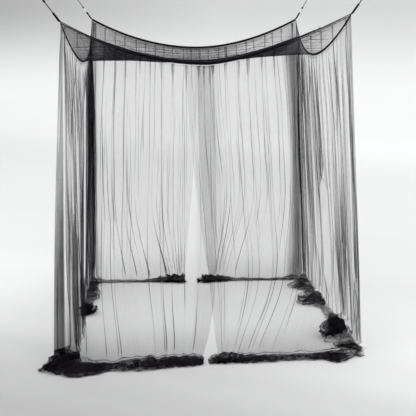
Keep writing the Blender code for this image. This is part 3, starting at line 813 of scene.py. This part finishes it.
def add_object(name, data):
    """An object in the scene, around its mesh, curve or camera."""
    made = bpy.data.objects.new(name, data)
    bpy.context.scene.collection.objects.link(made)
    return made


def add_sheet(name, points, gather, cloth, material):
    """A sheet through points (rows, columns, 3), with how many layers of net it stands for."""
    rows, columns = points.shape[:2]
    mesh = bpy.data.meshes.new(name)
    shape = bmesh.new()
    bmesh.ops.create_grid(shape, x_segments=columns - 1, y_segments=rows - 1, size=0.5)
    shape.to_mesh(mesh)
    shape.free()
    place = np.empty(len(mesh.vertices) * 3)
    mesh.vertices.foreach_get("co", place)
    place = place.reshape(-1, 3)
    column = np.rint((place[:, 0] + 0.5) * (columns - 1)).astype(int)
    row = np.rint((place[:, 1] + 0.5) * (rows - 1)).astype(int)
    mesh.vertices.foreach_set("co", points[row, column].ravel())
    layers = mesh.attributes.new("gather", "FLOAT", "POINT")
    layers.data.foreach_set("value", gather[row, column].ravel())
    corner = np.empty(len(mesh.loops), dtype=int)
    mesh.loops.foreach_get("vertex_index", corner)
    uv = mesh.uv_layers.new(name="Cloth")
    uv.data.foreach_set("uv", cloth[row[corner], column[corner]].ravel())
    mesh.shade_smooth()
    mesh.update()
    mesh.materials.append(material)
    return add_object(name, mesh)


def cloth_places(points, flat):
    """Each point's place on the flat cloth, in metres."""
    rows, columns = points.shape[:2]
    down = np.linalg.norm(np.diff(points, axis=0), axis=2)
    length = np.concatenate([np.zeros((1, columns)), np.cumsum(down, axis=0)])
    across = np.linalg.norm(np.diff(points[rows // 2], axis=0), axis=1)
    width = np.concatenate([[0.0], np.cumsum(across)])
    width *= flat[0] / width[-1]
    return np.stack([np.broadcast_to(width, (rows, columns)), length], axis=2)


def make_wall(name, wall, material):
    """One wall's sheet of net, from its binding down to the end of its hem."""
    columns = sheet_columns(name, wall)
    hanging, hanging_layers = hanging_points(name, wall, columns, row_shares())
    hem, hem_layers = hem_points(name, wall, columns)
    points = np.concatenate([hanging, hem])
    rolled = smooth(np.arange(len(hem))[:, None], 0, HEM_ROWS * HEM_BLEND)
    layers = np.concatenate([hanging_layers, blend(hanging_layers[-1], hem_layers, rolled)])
    along = FOOT[EDGES[wall.side].end] - FOOT[EDGES[wall.side].start]
    along = along / np.linalg.norm(along)
    points[:, 0] += along * CORNER_SEAM
    points[:, -1] -= along * CORNER_SEAM

    sheet = add_sheet("net_" + name, points, layers, cloth_places(points, FLAT[name]), material)
    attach(sheet, "root")
    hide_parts(name)
    return sheet


# The roof: its columns and rows are closer at the creases that cross it both ways, where it was
# folded away. They are this wide and high, and as many layers darker.
ROOF_STEP = 0.020
ROOF_CREASE_SPACING = 0.085
ROOF_CREASE_WIDTH = 0.006
ROOF_CREASE_HEIGHT = (0.001, 0.005)
ROOF_CREASE_LAYERS = (0.1, 1.3)
# How many layers of net the roof is, by the share of the way across, in front and behind, and
# between which shares of the way back it changes
ROOF_LAYERS_FRONT = [(0.0, 3.6), (0.09, 4.2), (0.15, 10.0), (0.80, 11.0), (0.86, 2.0), (1.0, 0.8)]
ROOF_LAYERS_REAR = [(0.0, 2.4), (0.10, 3.0), (0.20, 3.6), (0.60, 3.0), (0.75, 1.6), (1.0, 1.2)]
ROOF_CHANGES = (0.20, 0.60)
# How much of those layers is in the creases from side to side, by the share of the way across
ROOF_CROSSWISE = [(0.0, 0.7), (0.15, 0.7), (0.35, 0.15), (0.70, 0.15), (0.88, 0.5), (1.0, 0.5)]
ROOF_CREASE_JITTER = 0.08
# The creases that the cords pull from the corners: how high they are, over which share of the roof
# they grow from its edge, how far they run, and how many there are round a corner, and how strong
RIPPLE = 0.020
ROOF_EDGE = 0.06
RIPPLE_RUNS = 0.33
RIPPLE_WAVES = [(22, 1.0), (37, 0.6)]


def creased_places(width, chance):
    """Places from 0 to 1 across the roof, and how much of a crease is at each: height and layers."""
    count = round(width / ROOF_CREASE_SPACING)
    half = ROOF_CREASE_WIDTH / 2 / width
    rows = []
    for number in range(1, count):
        centre = (number + chance.uniform(-ROOF_CREASE_JITTER, ROOF_CREASE_JITTER)) / count
        height, layers = chance.uniform(*ROOF_CREASE_HEIGHT), chance.uniform(*ROOF_CREASE_LAYERS)
        rows += [(centre - half, 0.0, 0.0), (centre, height, layers), (centre + half, 0.0, 0.0)]
    taken = [row[0] for row in rows]
    for place in np.linspace(0, 1, round(width / ROOF_STEP)):
        if min(abs(place - other) for other in taken) > half:
            rows.append((float(place), 0.0, 0.0))
    return np.array(sorted(rows)).T


def corner_ripples(across, back):
    """The creases that run out from the roof's corners, where the cords pull at them."""
    total = np.zeros_like(across)
    for number, (x, y) in enumerate(((0, 0), (1, 0), (0, 1), (1, 1))):
        right, up = np.abs(across - x), np.abs(back - y)
        distance = np.hypot(right, up)
        angle = np.arctan2(up, right)
        height = distance * np.exp(-((distance / RIPPLE_RUNS) ** 2)) * np.sin(2 * angle)
        for late, (count, strength) in enumerate(RIPPLE_WAVES, 1):
            total += height * strength * np.sin(angle * count + late * number)
    return total


def roof_points(across, back, lifted):
    """The sagging roof between its four bindings, with its creases lifted as far as is given."""
    front, rear = edge_point("front", across), edge_point("back", across)
    left, right = edge_point("left", back), edge_point("right", back)
    flat_front = blend(TOP["front_left"], TOP["front_right"], across[..., None])
    flat_rear = blend(TOP["back_left"], TOP["back_right"], across[..., None])
    flat = blend(flat_front, flat_rear, back[..., None])
    points = blend(front, rear, back[..., None]) + blend(left, right, across[..., None]) - flat
    sag_across = blend(edge_drop(EDGES["front"], across), edge_drop(EDGES["back"], across), back)
    sag_back = blend(edge_drop(EDGES["left"], back), edge_drop(EDGES["right"], back), across)
    sag = (sag_across**PANEL_SAG_NORM + sag_back**PANEL_SAG_NORM) ** (1 / PANEL_SAG_NORM)
    inside = np.minimum.reduce([across, 1 - across, back, 1 - back])
    points[..., 2] = flat[..., 2] - sag + lifted * np.clip(inside / ROOF_EDGE, 0, 1)
    inset = TAPE_THICKNESS / 2 + SEAM_GAP
    points[..., 0] += inset * (1 - 2 * across)
    points[..., 1] += inset * (1 - 2 * back)
    return points


def make_roof(material):
    """The sagging top panel, inside its four bindings."""
    chance = random.Random("roof")
    flat = FLAT["top_panel"]
    xs, x_heights, x_layers = creased_places(flat[0], chance)
    ys, y_heights, y_layers = creased_places(flat[1], chance)
    across, back = np.meshgrid(xs, ys)
    crossing = np.maximum(x_heights[None, :], y_heights[:, None])
    points = roof_points(across, back, RIPPLE * corner_ripples(across, back) + crossing)
    in_front = table_value(ROOF_LAYERS_FRONT, across, 1)
    behind = table_value(ROOF_LAYERS_REAR, across, 1)
    layers = blend(in_front, behind, smooth(back, *ROOF_CHANGES))
    crosswise = table_value(ROOF_CROSSWISE, across, 1)
    layers = layers + x_layers[None, :] + crosswise * y_layers[:, None]
    sheet = add_sheet("roof_net", points, layers, cloth_places(points, flat), material)
    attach(sheet, "root")
    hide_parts("top_panel")
    return sheet


# -------------------------- Tapes, cords, knots, loops and links --------------------------
TAPE_STEPS = 160
# How many layers of net the tape's middle and its lower border are as dense as, by the share of the
# side. Towards the front corners only the stitched borders are dense.
TAPE_BORDER_LAYERS = 60.0
TAPE_MIDDLE = dict.fromkeys(EDGES, [(0.0, 25.0), (1.0, 25.0)])
TAPE_MIDDLE["front"] = [(0.20, 2.0), (0.34, 25.0), (0.68, 25.0), (0.80, 2.0)]
TAPE_LOWER = dict.fromkeys(EDGES, [(0.0, 60.0), (1.0, 60.0)])
TAPE_LOWER["front"] = [(0.0, 12.0), (0.12, 15.0), (0.24, 60.0), (0.84, 60.0), (1.0, 30.0)]
TAPE_BORDER = 0.28  # share of its height from the middle to a border
# A quarter of the tape's section: out of the wall and up, as shares of its thickness and height. It
# is thin in the middle, with a rolled and stitched border above and below.
TAPE_QUARTER = [(0.25, 0.00), (0.30, 0.24), (0.50, 0.32), (0.50, 0.46), (0.20, 0.50)]
TAPE_ENDS = (0.001, 0.999)  # shares of the side between which it lies
TAPE_CLOTH = (2.0, 0.04)  # its flat size
TAPE_WELD = 0.00001


def tape_section():
    """The tape's whole section, as a closed row of places round it."""
    out_front = TAPE_QUARTER
    out_back = [(-out, up) for out, up in TAPE_QUARTER[::-1]]
    below = [(out, -up) for out, up in (out_front + out_back)[::-1]]
    return out_front + out_back + below[1:]


def make_tape(side, material):
    """The binding tape along one top edge, standing on edge."""
    share = np.linspace(*TAPE_ENDS, TAPE_STEPS)
    centre = edge_point(side, share)
    outward = outward_at(side, share)
    rows, dense = [], []
    for out, up in tape_section():
        row = centre + outward * out * TAPE_THICKNESS
        row[:, 2] += up * TAPE_HEIGHT
        rows.append(row)
        if up > TAPE_BORDER:
            dense.append(np.full(TAPE_STEPS, TAPE_BORDER_LAYERS))
        else:
            table = TAPE_LOWER if up < -TAPE_BORDER else TAPE_MIDDLE
            dense.append(table_value(table[side], share, 1))
    points, dense = np.array(rows), np.array(dense)
    tape = add_sheet("edge_tape_" + side, points, dense, cloth_places(points, TAPE_CLOTH), material)
    weld = tape.modifiers.new("Seam", "WELD")
    weld.merge_threshold = TAPE_WELD
    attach(tape, "root")
    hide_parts("binding_" + side)
    return tape


CURVE_SMOOTHNESS = 3
OVAL_POINTS = 40
KNOT_POINTS = 48
KNOT_WIDTH = 0.016
KNOT_CORD = 0.8  # the cord in a knot is pulled thinner
EXTRA_KNOTS = {"front_left": 0.094}  # a knot partway along the cord, at this distance from its start
TAB_FULLNESS = (1.35, 1.6)  # the tab is pulled together, so its tape lies wider and thicker
TAB_ROUNDING = 0.0015
TAB_ROUNDING_STEPS = 3


def add_curve(name, points, diameter, closed, material):
    """A round cord through the points."""
    curve = bpy.data.curves.new(name, "CURVE")
    curve.dimensions = "3D"
    curve.bevel_depth = diameter / 2
    curve.bevel_resolution = CURVE_SMOOTHNESS
    curve.use_fill_caps = True
    spline = curve.splines.new("POLY")
    spline.points.add(len(points) - 1)
    for spot, point in zip(spline.points, points):
        spot.co = (*point, 1)
    spline.use_cyclic_u = closed
    curve.materials.append(material)
    made = add_object(name, curve)
    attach(made, "root")
    return made


def turns(count):
    """The angles of a number of even steps round a circle."""
    return [2 * math.pi * number / count for number in range(count)]


def oval_points(start, direction, length, width):
    """Points round an upright oval from start along the direction."""
    across = direction.cross(Vector((0, 0, 1))).normalized() * width / 2
    along = direction * length / 2
    centre = start + along
    return [centre + along * math.cos(turn) + across * math.sin(turn) for turn in turns(OVAL_POINTS)]


def knot_points(centre, direction, length, width):
    """A tight overhand knot, as a trefoil drawn out along the cord."""
    across = direction.cross(Vector((0, 0, 1))).normalized()
    up = direction.cross(across)
    points = []
    for turn in turns(KNOT_POINTS):
        x = (math.sin(turn) + 2 * math.sin(2 * turn)) / 3
        y = (math.cos(turn) - 2 * math.cos(2 * turn)) / 3
        z = -math.sin(3 * turn)
        point = centre + direction * y * length / 2
        points.append(point + across * x * width / 2 + up * z * width / 4)
    return points


def corner_places(corner):
    """Where along a corner's pull its parts start: (link, knot, cord, end) as distances."""
    link = TAB_START + corner.tab_length + CORD_GAP
    knot = link + (LINK_LENGTH + LINK_WIRE + CORD_GAP) * corner.link
    cord = knot + KNOT_LENGTH + CORD_GAP
    return link, knot, cord, cord + corner.cord_length


def make_cord(name, corner, material):
    """A corner's taut cord, with its knot at the corner and its end loop above it."""
    direction = corner.pull.normalized()
    top = Vector(TOP[name])
    link_at, knot_at, cord_at, end_at = corner_places(corner)
    start, end = top + direction * cord_at, top + direction * end_at
    route = [start.lerp(end, number / (CORD_POINTS - 1)) for number in range(CORD_POINTS)]
    cord = add_curve("hanging_cord_" + name, route, corner.cord_diameter, False, material)
    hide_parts("cord_" + name)

    def tie(knot_name, at):
        route = knot_points(top + direction * at, direction, KNOT_LENGTH, KNOT_WIDTH)
        knot = add_curve(knot_name, route, corner.cord_diameter * KNOT_CORD, True, material)
        return knot

    knot = tie("tied_knot_" + name, knot_at + KNOT_LENGTH / 2)
    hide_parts("knot_" + name)

    loop_start = end + direction * (CORD_GAP + KNOT_LENGTH * END_LOOP_START)
    route = oval_points(loop_start, direction, END_LOOP_LENGTH, END_LOOP_WIDTH)
    diameter = corner.cord_diameter * END_LOOP_CORD
    loop = add_curve("end_loop_" + name, route, diameter, True, material)
    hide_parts("loop_" + name)
    small_knots = [tie("loop_knot_" + name, end_at + KNOT_LENGTH / 2)]
    if corner.link:
        small_knots.append(tie("link_knot_" + name, link_at - KNOT_LENGTH / 2))
    if name in EXTRA_KNOTS:
        small_knots.append(tie("extra_knot_" + name, cord_at + EXTRA_KNOTS[name]))


def make_link(name, corner, material):
    """The long clear link between a back corner's tab and its cord."""
    direction = corner.pull.normalized()
    link_at = corner_places(corner)[0]
    start = Vector(TOP[name]) + direction * (link_at + LINK_WIRE / 2)
    points = oval_points(start, direction, LINK_LENGTH, LINK_WIDTH)
    link = add_curve("clear_link_" + name, points, LINK_WIRE, True, material)
    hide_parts("link_" + name)


def make_tab(name, corner, material):
    """The folded tape tab that the cord is tied to."""
    direction = corner.pull.normalized()
    bpy.ops.mesh.primitive_cube_add(size=1)
    tab = bpy.context.object
    tab.name = "corner_tape_" + name
    wide, thick = TAB_FULLNESS
    tab.scale = (corner.tab_width * wide, TAB_THICKNESS * thick, corner.tab_length)
    bpy.ops.object.transform_apply(location=False, rotation=False, scale=True)
    tab.location = Vector(TOP[name]) + direction * (TAB_START + corner.tab_length / 2)
    tab.rotation_euler = direction.to_track_quat("Z", "Y").to_euler()
    bevel = tab.modifiers.new("Soft edges", "BEVEL")
    bevel.width = TAB_ROUNDING
    bevel.segments = TAB_ROUNDING_STEPS
    tab.data.materials.append(material)
    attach(tab, "root")
    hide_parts("tab_" + name)


# --------------------------------------- Materials ----------------------------------------
def new_material(name, colour, roughness, specular):
    """A material with only a Principled shader, and that shader."""
    material = bpy.data.materials.new(name)
    material.use_nodes = True
    shader = material.node_tree.nodes["Principled BSDF"]
    shader.inputs["Base Color"].default_value = (*colour, 1)
    shader.inputs["Roughness"].default_value = roughness
    shader.inputs["Specular IOR Level"].default_value = specular
    return material, shader


def add_node(tree, kind, inputs):
    """A shader node, with a number, a colour or another node's socket on its inputs."""
    node = tree.nodes.new("ShaderNode" + kind)
    for name, value in inputs.items():
        if isinstance(value, bpy.types.NodeSocket):
            tree.links.new(value, node.inputs[name])
        else:
            node.inputs[name].default_value = value
    return node


def add_math(tree, operation, first, second):
    """What a Math node makes of two sockets or numbers."""
    node = add_node(tree, "Math", {0: first, 1: second})
    node.operation = operation
    return node.outputs[0]


def add_cloth(tree):
    """The place on the flat cloth, in metres."""
    cloth = add_node(tree, "UVMap", {})
    cloth.uv_map = "Cloth"
    return cloth.outputs["UV"]


def add_bump(tree, shader, height, strength, distance):
    """Makes a texture's height show on a shader's surface, as strongly and high as is given."""
    inputs = {"Height": height, "Strength": strength, "Distance": distance}
    bump = add_node(tree, "Bump", inputs)
    tree.links.new(bump.outputs["Normal"], shader.inputs["Normal"])


NET_COVER = 0.115  # share of the light that one layer of net stops, seen face on
# Its threads lie unevenly: streaks down the cloth and small spots, each as its scale across and
# down the cloth, per metre, and how strong it is
NET_UNEVENNESS = [((50, 0.8, 1), 1.1), ((140, 1.6, 1), 1.4), ((330, 330, 1), 0.7)]
NET_CROSSWAYS = 0.45  # share of its threads that lie no closer together when it is seen in a slant
NET_SLANTEST = 0.08  # cosine of the slant past which it gets no denser
NET_COLOUR = (0.008, 0.006, 0.010)
TAPE_COLOUR = (0.005, 0.005, 0.006)
TAPE_WEAVE = (160, 0.4, 0.0003)  # its scale, how strong its bump is and how high
CORD_COLOUR = (0.006, 0.006, 0.007)
CORD_BRAID = (600, 0.6, 0.0006)
CLEAR_COLOUR = (0.86, 0.87, 0.88)
CLEAR_COVER = 0.45  # share of the light that the plastic stops


def add_cover(tree):
    """The share of the light that the net stops: more in a slant, and with more layers of it."""
    facing = add_node(tree, "LayerWeight", {"Blend": 0.5})
    cosine = add_math(tree, "SUBTRACT", 1.0, facing.outputs["Facing"])
    cosine = add_math(tree, "MAXIMUM", cosine, NET_SLANTEST)
    slant = add_math(tree, "DIVIDE", 1 - NET_CROSSWAYS, cosine)
    slant = add_math(tree, "ADD", slant, NET_CROSSWAYS)
    gather = add_node(tree, "Attribute", {})
    gather.attribute_name = "gather"
    layers = add_math(tree, "MULTIPLY", gather.outputs["Fac"], slant)
    cloth = add_cloth(tree)
    for scale, strength in NET_UNEVENNESS:
        stretch = add_node(tree, "Mapping", {"Vector": cloth, "Scale": scale})
        spots = add_node(tree, "TexNoise", {"Vector": stretch.outputs["Vector"], "Detail": 2})
        around_one = add_math(tree, "MULTIPLY", spots.outputs["Fac"], strength)
        around_one = add_math(tree, "ADD", around_one, 1 - strength / 2)
        layers = add_math(tree, "MULTIPLY", layers, around_one)
    passed = add_math(tree, "POWER", 1 - NET_COVER, layers)
    return add_math(tree, "SUBTRACT", 1.0, passed)


def make_net_material():
    """Black sheer net, matte."""
    material, shader = new_material("Black sheer net", NET_COLOUR, roughness=0.8, specular=0.05)
    tree = material.node_tree
    tree.links.new(add_cover(tree), shader.inputs["Alpha"])
    return material


def make_tape_material(name, sheer):
    """Black woven tape with its weave in the bump, and as sheer as its layers say or dense."""
    material, shader = new_material(name, TAPE_COLOUR, roughness=0.75, specular=0.05)
    tree = material.node_tree
    if sheer:
        tree.links.new(add_cover(tree), shader.inputs["Alpha"])
    scale, strength, height = TAPE_WEAVE
    weave = add_node(tree, "TexWave", {"Vector": add_cloth(tree), "Scale": scale})
    add_bump(tree, shader, weave.outputs["Fac"], strength, height)
    return material


def make_cord_material():
    """Black braided cord."""
    name = "Black braided cord"
    material, shader = new_material(name, CORD_COLOUR, roughness=0.65, specular=0.15)
    tree = material.node_tree
    place = add_node(tree, "TexCoord", {})
    scale, strength, height = CORD_BRAID
    braid = add_node(tree, "TexVoronoi", {"Vector": place.outputs["Object"], "Scale": scale})
    add_bump(tree, shader, braid.outputs["Distance"], strength, height)
    return material


def make_clear_material():
    """Clear moulded plastic, a little milky."""
    material, shader = new_material("Clear plastic", CLEAR_COLOUR, roughness=0.12, specular=0.5)
    shader.inputs["Alpha"].default_value = CLEAR_COVER
    return material


# -------------------------------- Camera, stage and light ---------------------------------
CAMERA_PLACE = (-0.391, -6.629, 2.2)
CAMERA_DOWN = math.radians(11.5)
CAMERA_LEFT = math.radians(-4)
CAMERA_LENS = 80.39

STAGE_RADIUS = 12.0
STAGE_COVE = 4.0
STAGE_COVE_STEPS = 12
STAGE_WALL = 6.0
STAGE_STEPS = 96
STAGE_LOWER = 0.0005  # than the floor that the net lies on
STAGE_WELD = 0.0001
STAGE_SLANT = 0.55  # how far the bands of its shades run back for each metre to the left
STAGE_TINT = (0.995, 0.998, 1.0)
# The paper's painted light and shade by its place from front left to back right, in metres: bands of
# the studio's light and shadow over the floor, lighter around the net where its own shadow falls
STAGE_PAINTED_LIGHT_AND_SHADE = [
    (-8.0, 0.75), (-4.0, 0.62), (-2.2, 0.475), (-1.8, 0.545), (-1.25, 0.655), (-0.65, 0.78),
    (0.0, 0.84), (0.7, 0.83), (1.8, 0.775), (3.5, 0.745), (7.0, 0.755), (12.0, 0.88), (17.0, 0.88),
]
# Painted shade: up the wall the paper gets darker, between these heights, and by the left of it more
# than the right: between these places from left to right it is darker by these shares at the top
STAGE_PAINTED_SHADE_HEIGHTS = (0.6, 2.6)
STAGE_LEFT_TO_RIGHT = (-3.5, 1.5)
STAGE_PAINTED_SHADE_DEPTH = (0.50, 0.25)


def add_range(tree, value, source, target, interpolation):
    """A value mapped from one range to another, and held at its ends."""
    ends = ("From Min", "From Max", "To Min", "To Max")
    node = add_node(tree, "MapRange", {"Value": value, **dict(zip(ends, (*source, *target)))})
    node.interpolation_type = interpolation
    return node.outputs["Result"]


def make_camera():
    """The camera at the photograph's angle."""
    data = bpy.data.cameras.new("Camera")
    data.lens = CAMERA_LENS
    data.sensor_width = 36
    data.clip_end = 100
    camera = add_object("Camera", data)
    camera.location = CAMERA_PLACE
    camera.rotation_euler = (math.pi / 2 - CAMERA_DOWN, 0, CAMERA_LEFT)
    bpy.context.scene.camera = camera


def make_paper_material():
    """Pale studio paper, with painted light and shade in bands over the floor and painted shade that
    darkens it up the wall.
    """
    material, shader = new_material("Studio paper with painted light and shade", STAGE_TINT, roughness=0.9, specular=0.0)
    tree = material.node_tree
    place = add_node(tree, "TexCoord", {})
    split = add_node(tree, "SeparateXYZ", {0: place.outputs["Object"]})
    slant = add_math(tree, "MULTIPLY", split.outputs["X"], STAGE_SLANT)
    slant = add_math(tree, "ADD", slant, split.outputs["Y"])
    low, high = STAGE_PAINTED_LIGHT_AND_SHADE[0][0], STAGE_PAINTED_LIGHT_AND_SHADE[-1][0]
    span = add_range(tree, slant, (low, high), (0, 1), "LINEAR")
    # Painted light and shade: the paper's colour steps lighter and darker in bands over the floor
    ramp = add_node(tree, "ValToRGB", {"Fac": span})
    ramp.color_ramp.interpolation = "EASE"
    elements = ramp.color_ramp.elements
    while len(elements) < len(STAGE_PAINTED_LIGHT_AND_SHADE):
        elements.new(0.5)
    for element, (at, shade) in zip(elements, STAGE_PAINTED_LIGHT_AND_SHADE):
        element.position = (at - low) / (high - low)
        element.color = (*(shade * part for part in STAGE_TINT), 1)
    # Painted shade: the paper is darker up the wall, and more so on the left
    up = add_range(tree, split.outputs["Z"], STAGE_PAINTED_SHADE_HEIGHTS, (0, 1), "SMOOTHSTEP")
    darker = add_range(tree, split.outputs["X"], STAGE_LEFT_TO_RIGHT, STAGE_PAINTED_SHADE_DEPTH, "LINEAR")
    kept = add_math(tree, "SUBTRACT", 1.0, add_math(tree, "MULTIPLY", up, darker))
    shaded = add_node(tree, "VectorMath", {0: ramp.outputs["Color"]})
    shaded.operation = "SCALE"
    tree.links.new(kept, shaded.inputs["Scale"])
    tree.links.new(shaded.outputs[0], shader.inputs["Base Color"])
    return material


def make_stage():
    """A round pale studio floor that curves up into a wall all round."""
    profile = [(0.0, 0.0), (STAGE_RADIUS, 0.0)]
    for step in range(1, STAGE_COVE_STEPS + 1):
        turn = math.pi / 2 * step / STAGE_COVE_STEPS
        out, up = STAGE_COVE * math.sin(turn), STAGE_COVE * (1 - math.cos(turn))
        profile.append((STAGE_RADIUS + out, up))
    profile.append((STAGE_RADIUS + STAGE_COVE, STAGE_COVE + STAGE_WALL))
    mesh = bpy.data.meshes.new("Studio")
    shape = bmesh.new()
    spots = [shape.verts.new((x, 0, z - STAGE_LOWER)) for x, z in profile]
    for before, after in zip(spots, spots[1:]):
        shape.edges.new((before, after))
    shape.to_mesh(mesh)
    shape.free()
    stage = add_object("Studio", mesh)
    screw = stage.modifiers.new("Round", "SCREW")
    screw.steps = screw.render_steps = STAGE_STEPS
    screw.merge_threshold = STAGE_WELD
    screw.use_merge_vertices = True
    screw.use_smooth_shade = True
    mesh.materials.append(make_paper_material())


STUDIO_LIGHT = 1.5
SHEETS_SEEN_THROUGH = 96  # at most, one behind the other


def make_light():
    """An even, soft white light from all round and above."""
    world = bpy.data.worlds.new("Studio light")
    bpy.context.scene.world = world
    world.use_nodes = True
    background = world.node_tree.nodes["Background"]
    background.inputs["Color"].default_value = (1, 1, 1, 1)
    background.inputs["Strength"].default_value = STUDIO_LIGHT


def make_scene():
    """The camera, every piece around its solid, the stage and the light."""
    make_camera()
    net = make_net_material()
    tape = make_tape_material("Black binding tape", True)
    dense_tape = make_tape_material("Black woven tape", False)
    cord = make_cord_material()
    clear = make_clear_material()
    for name, corner in CORNERS.items():
        make_cord(name, corner, cord)
        make_tab(name, corner, dense_tape)
        if corner.link:
            make_link(name, corner, clear)
    for side in EDGES:
        make_tape(side, tape)
    make_roof(net)
    noise.seed_set(HEM_SEED)
    for name, wall in WALLS.items():
        make_wall(name, wall, net)
    make_stage()
    make_light()
    bpy.context.scene.view_settings.view_transform = "Standard"
    bpy.context.scene.cycles.transparent_max_bounces = SHEETS_SEEN_THROUGH


make_scene()
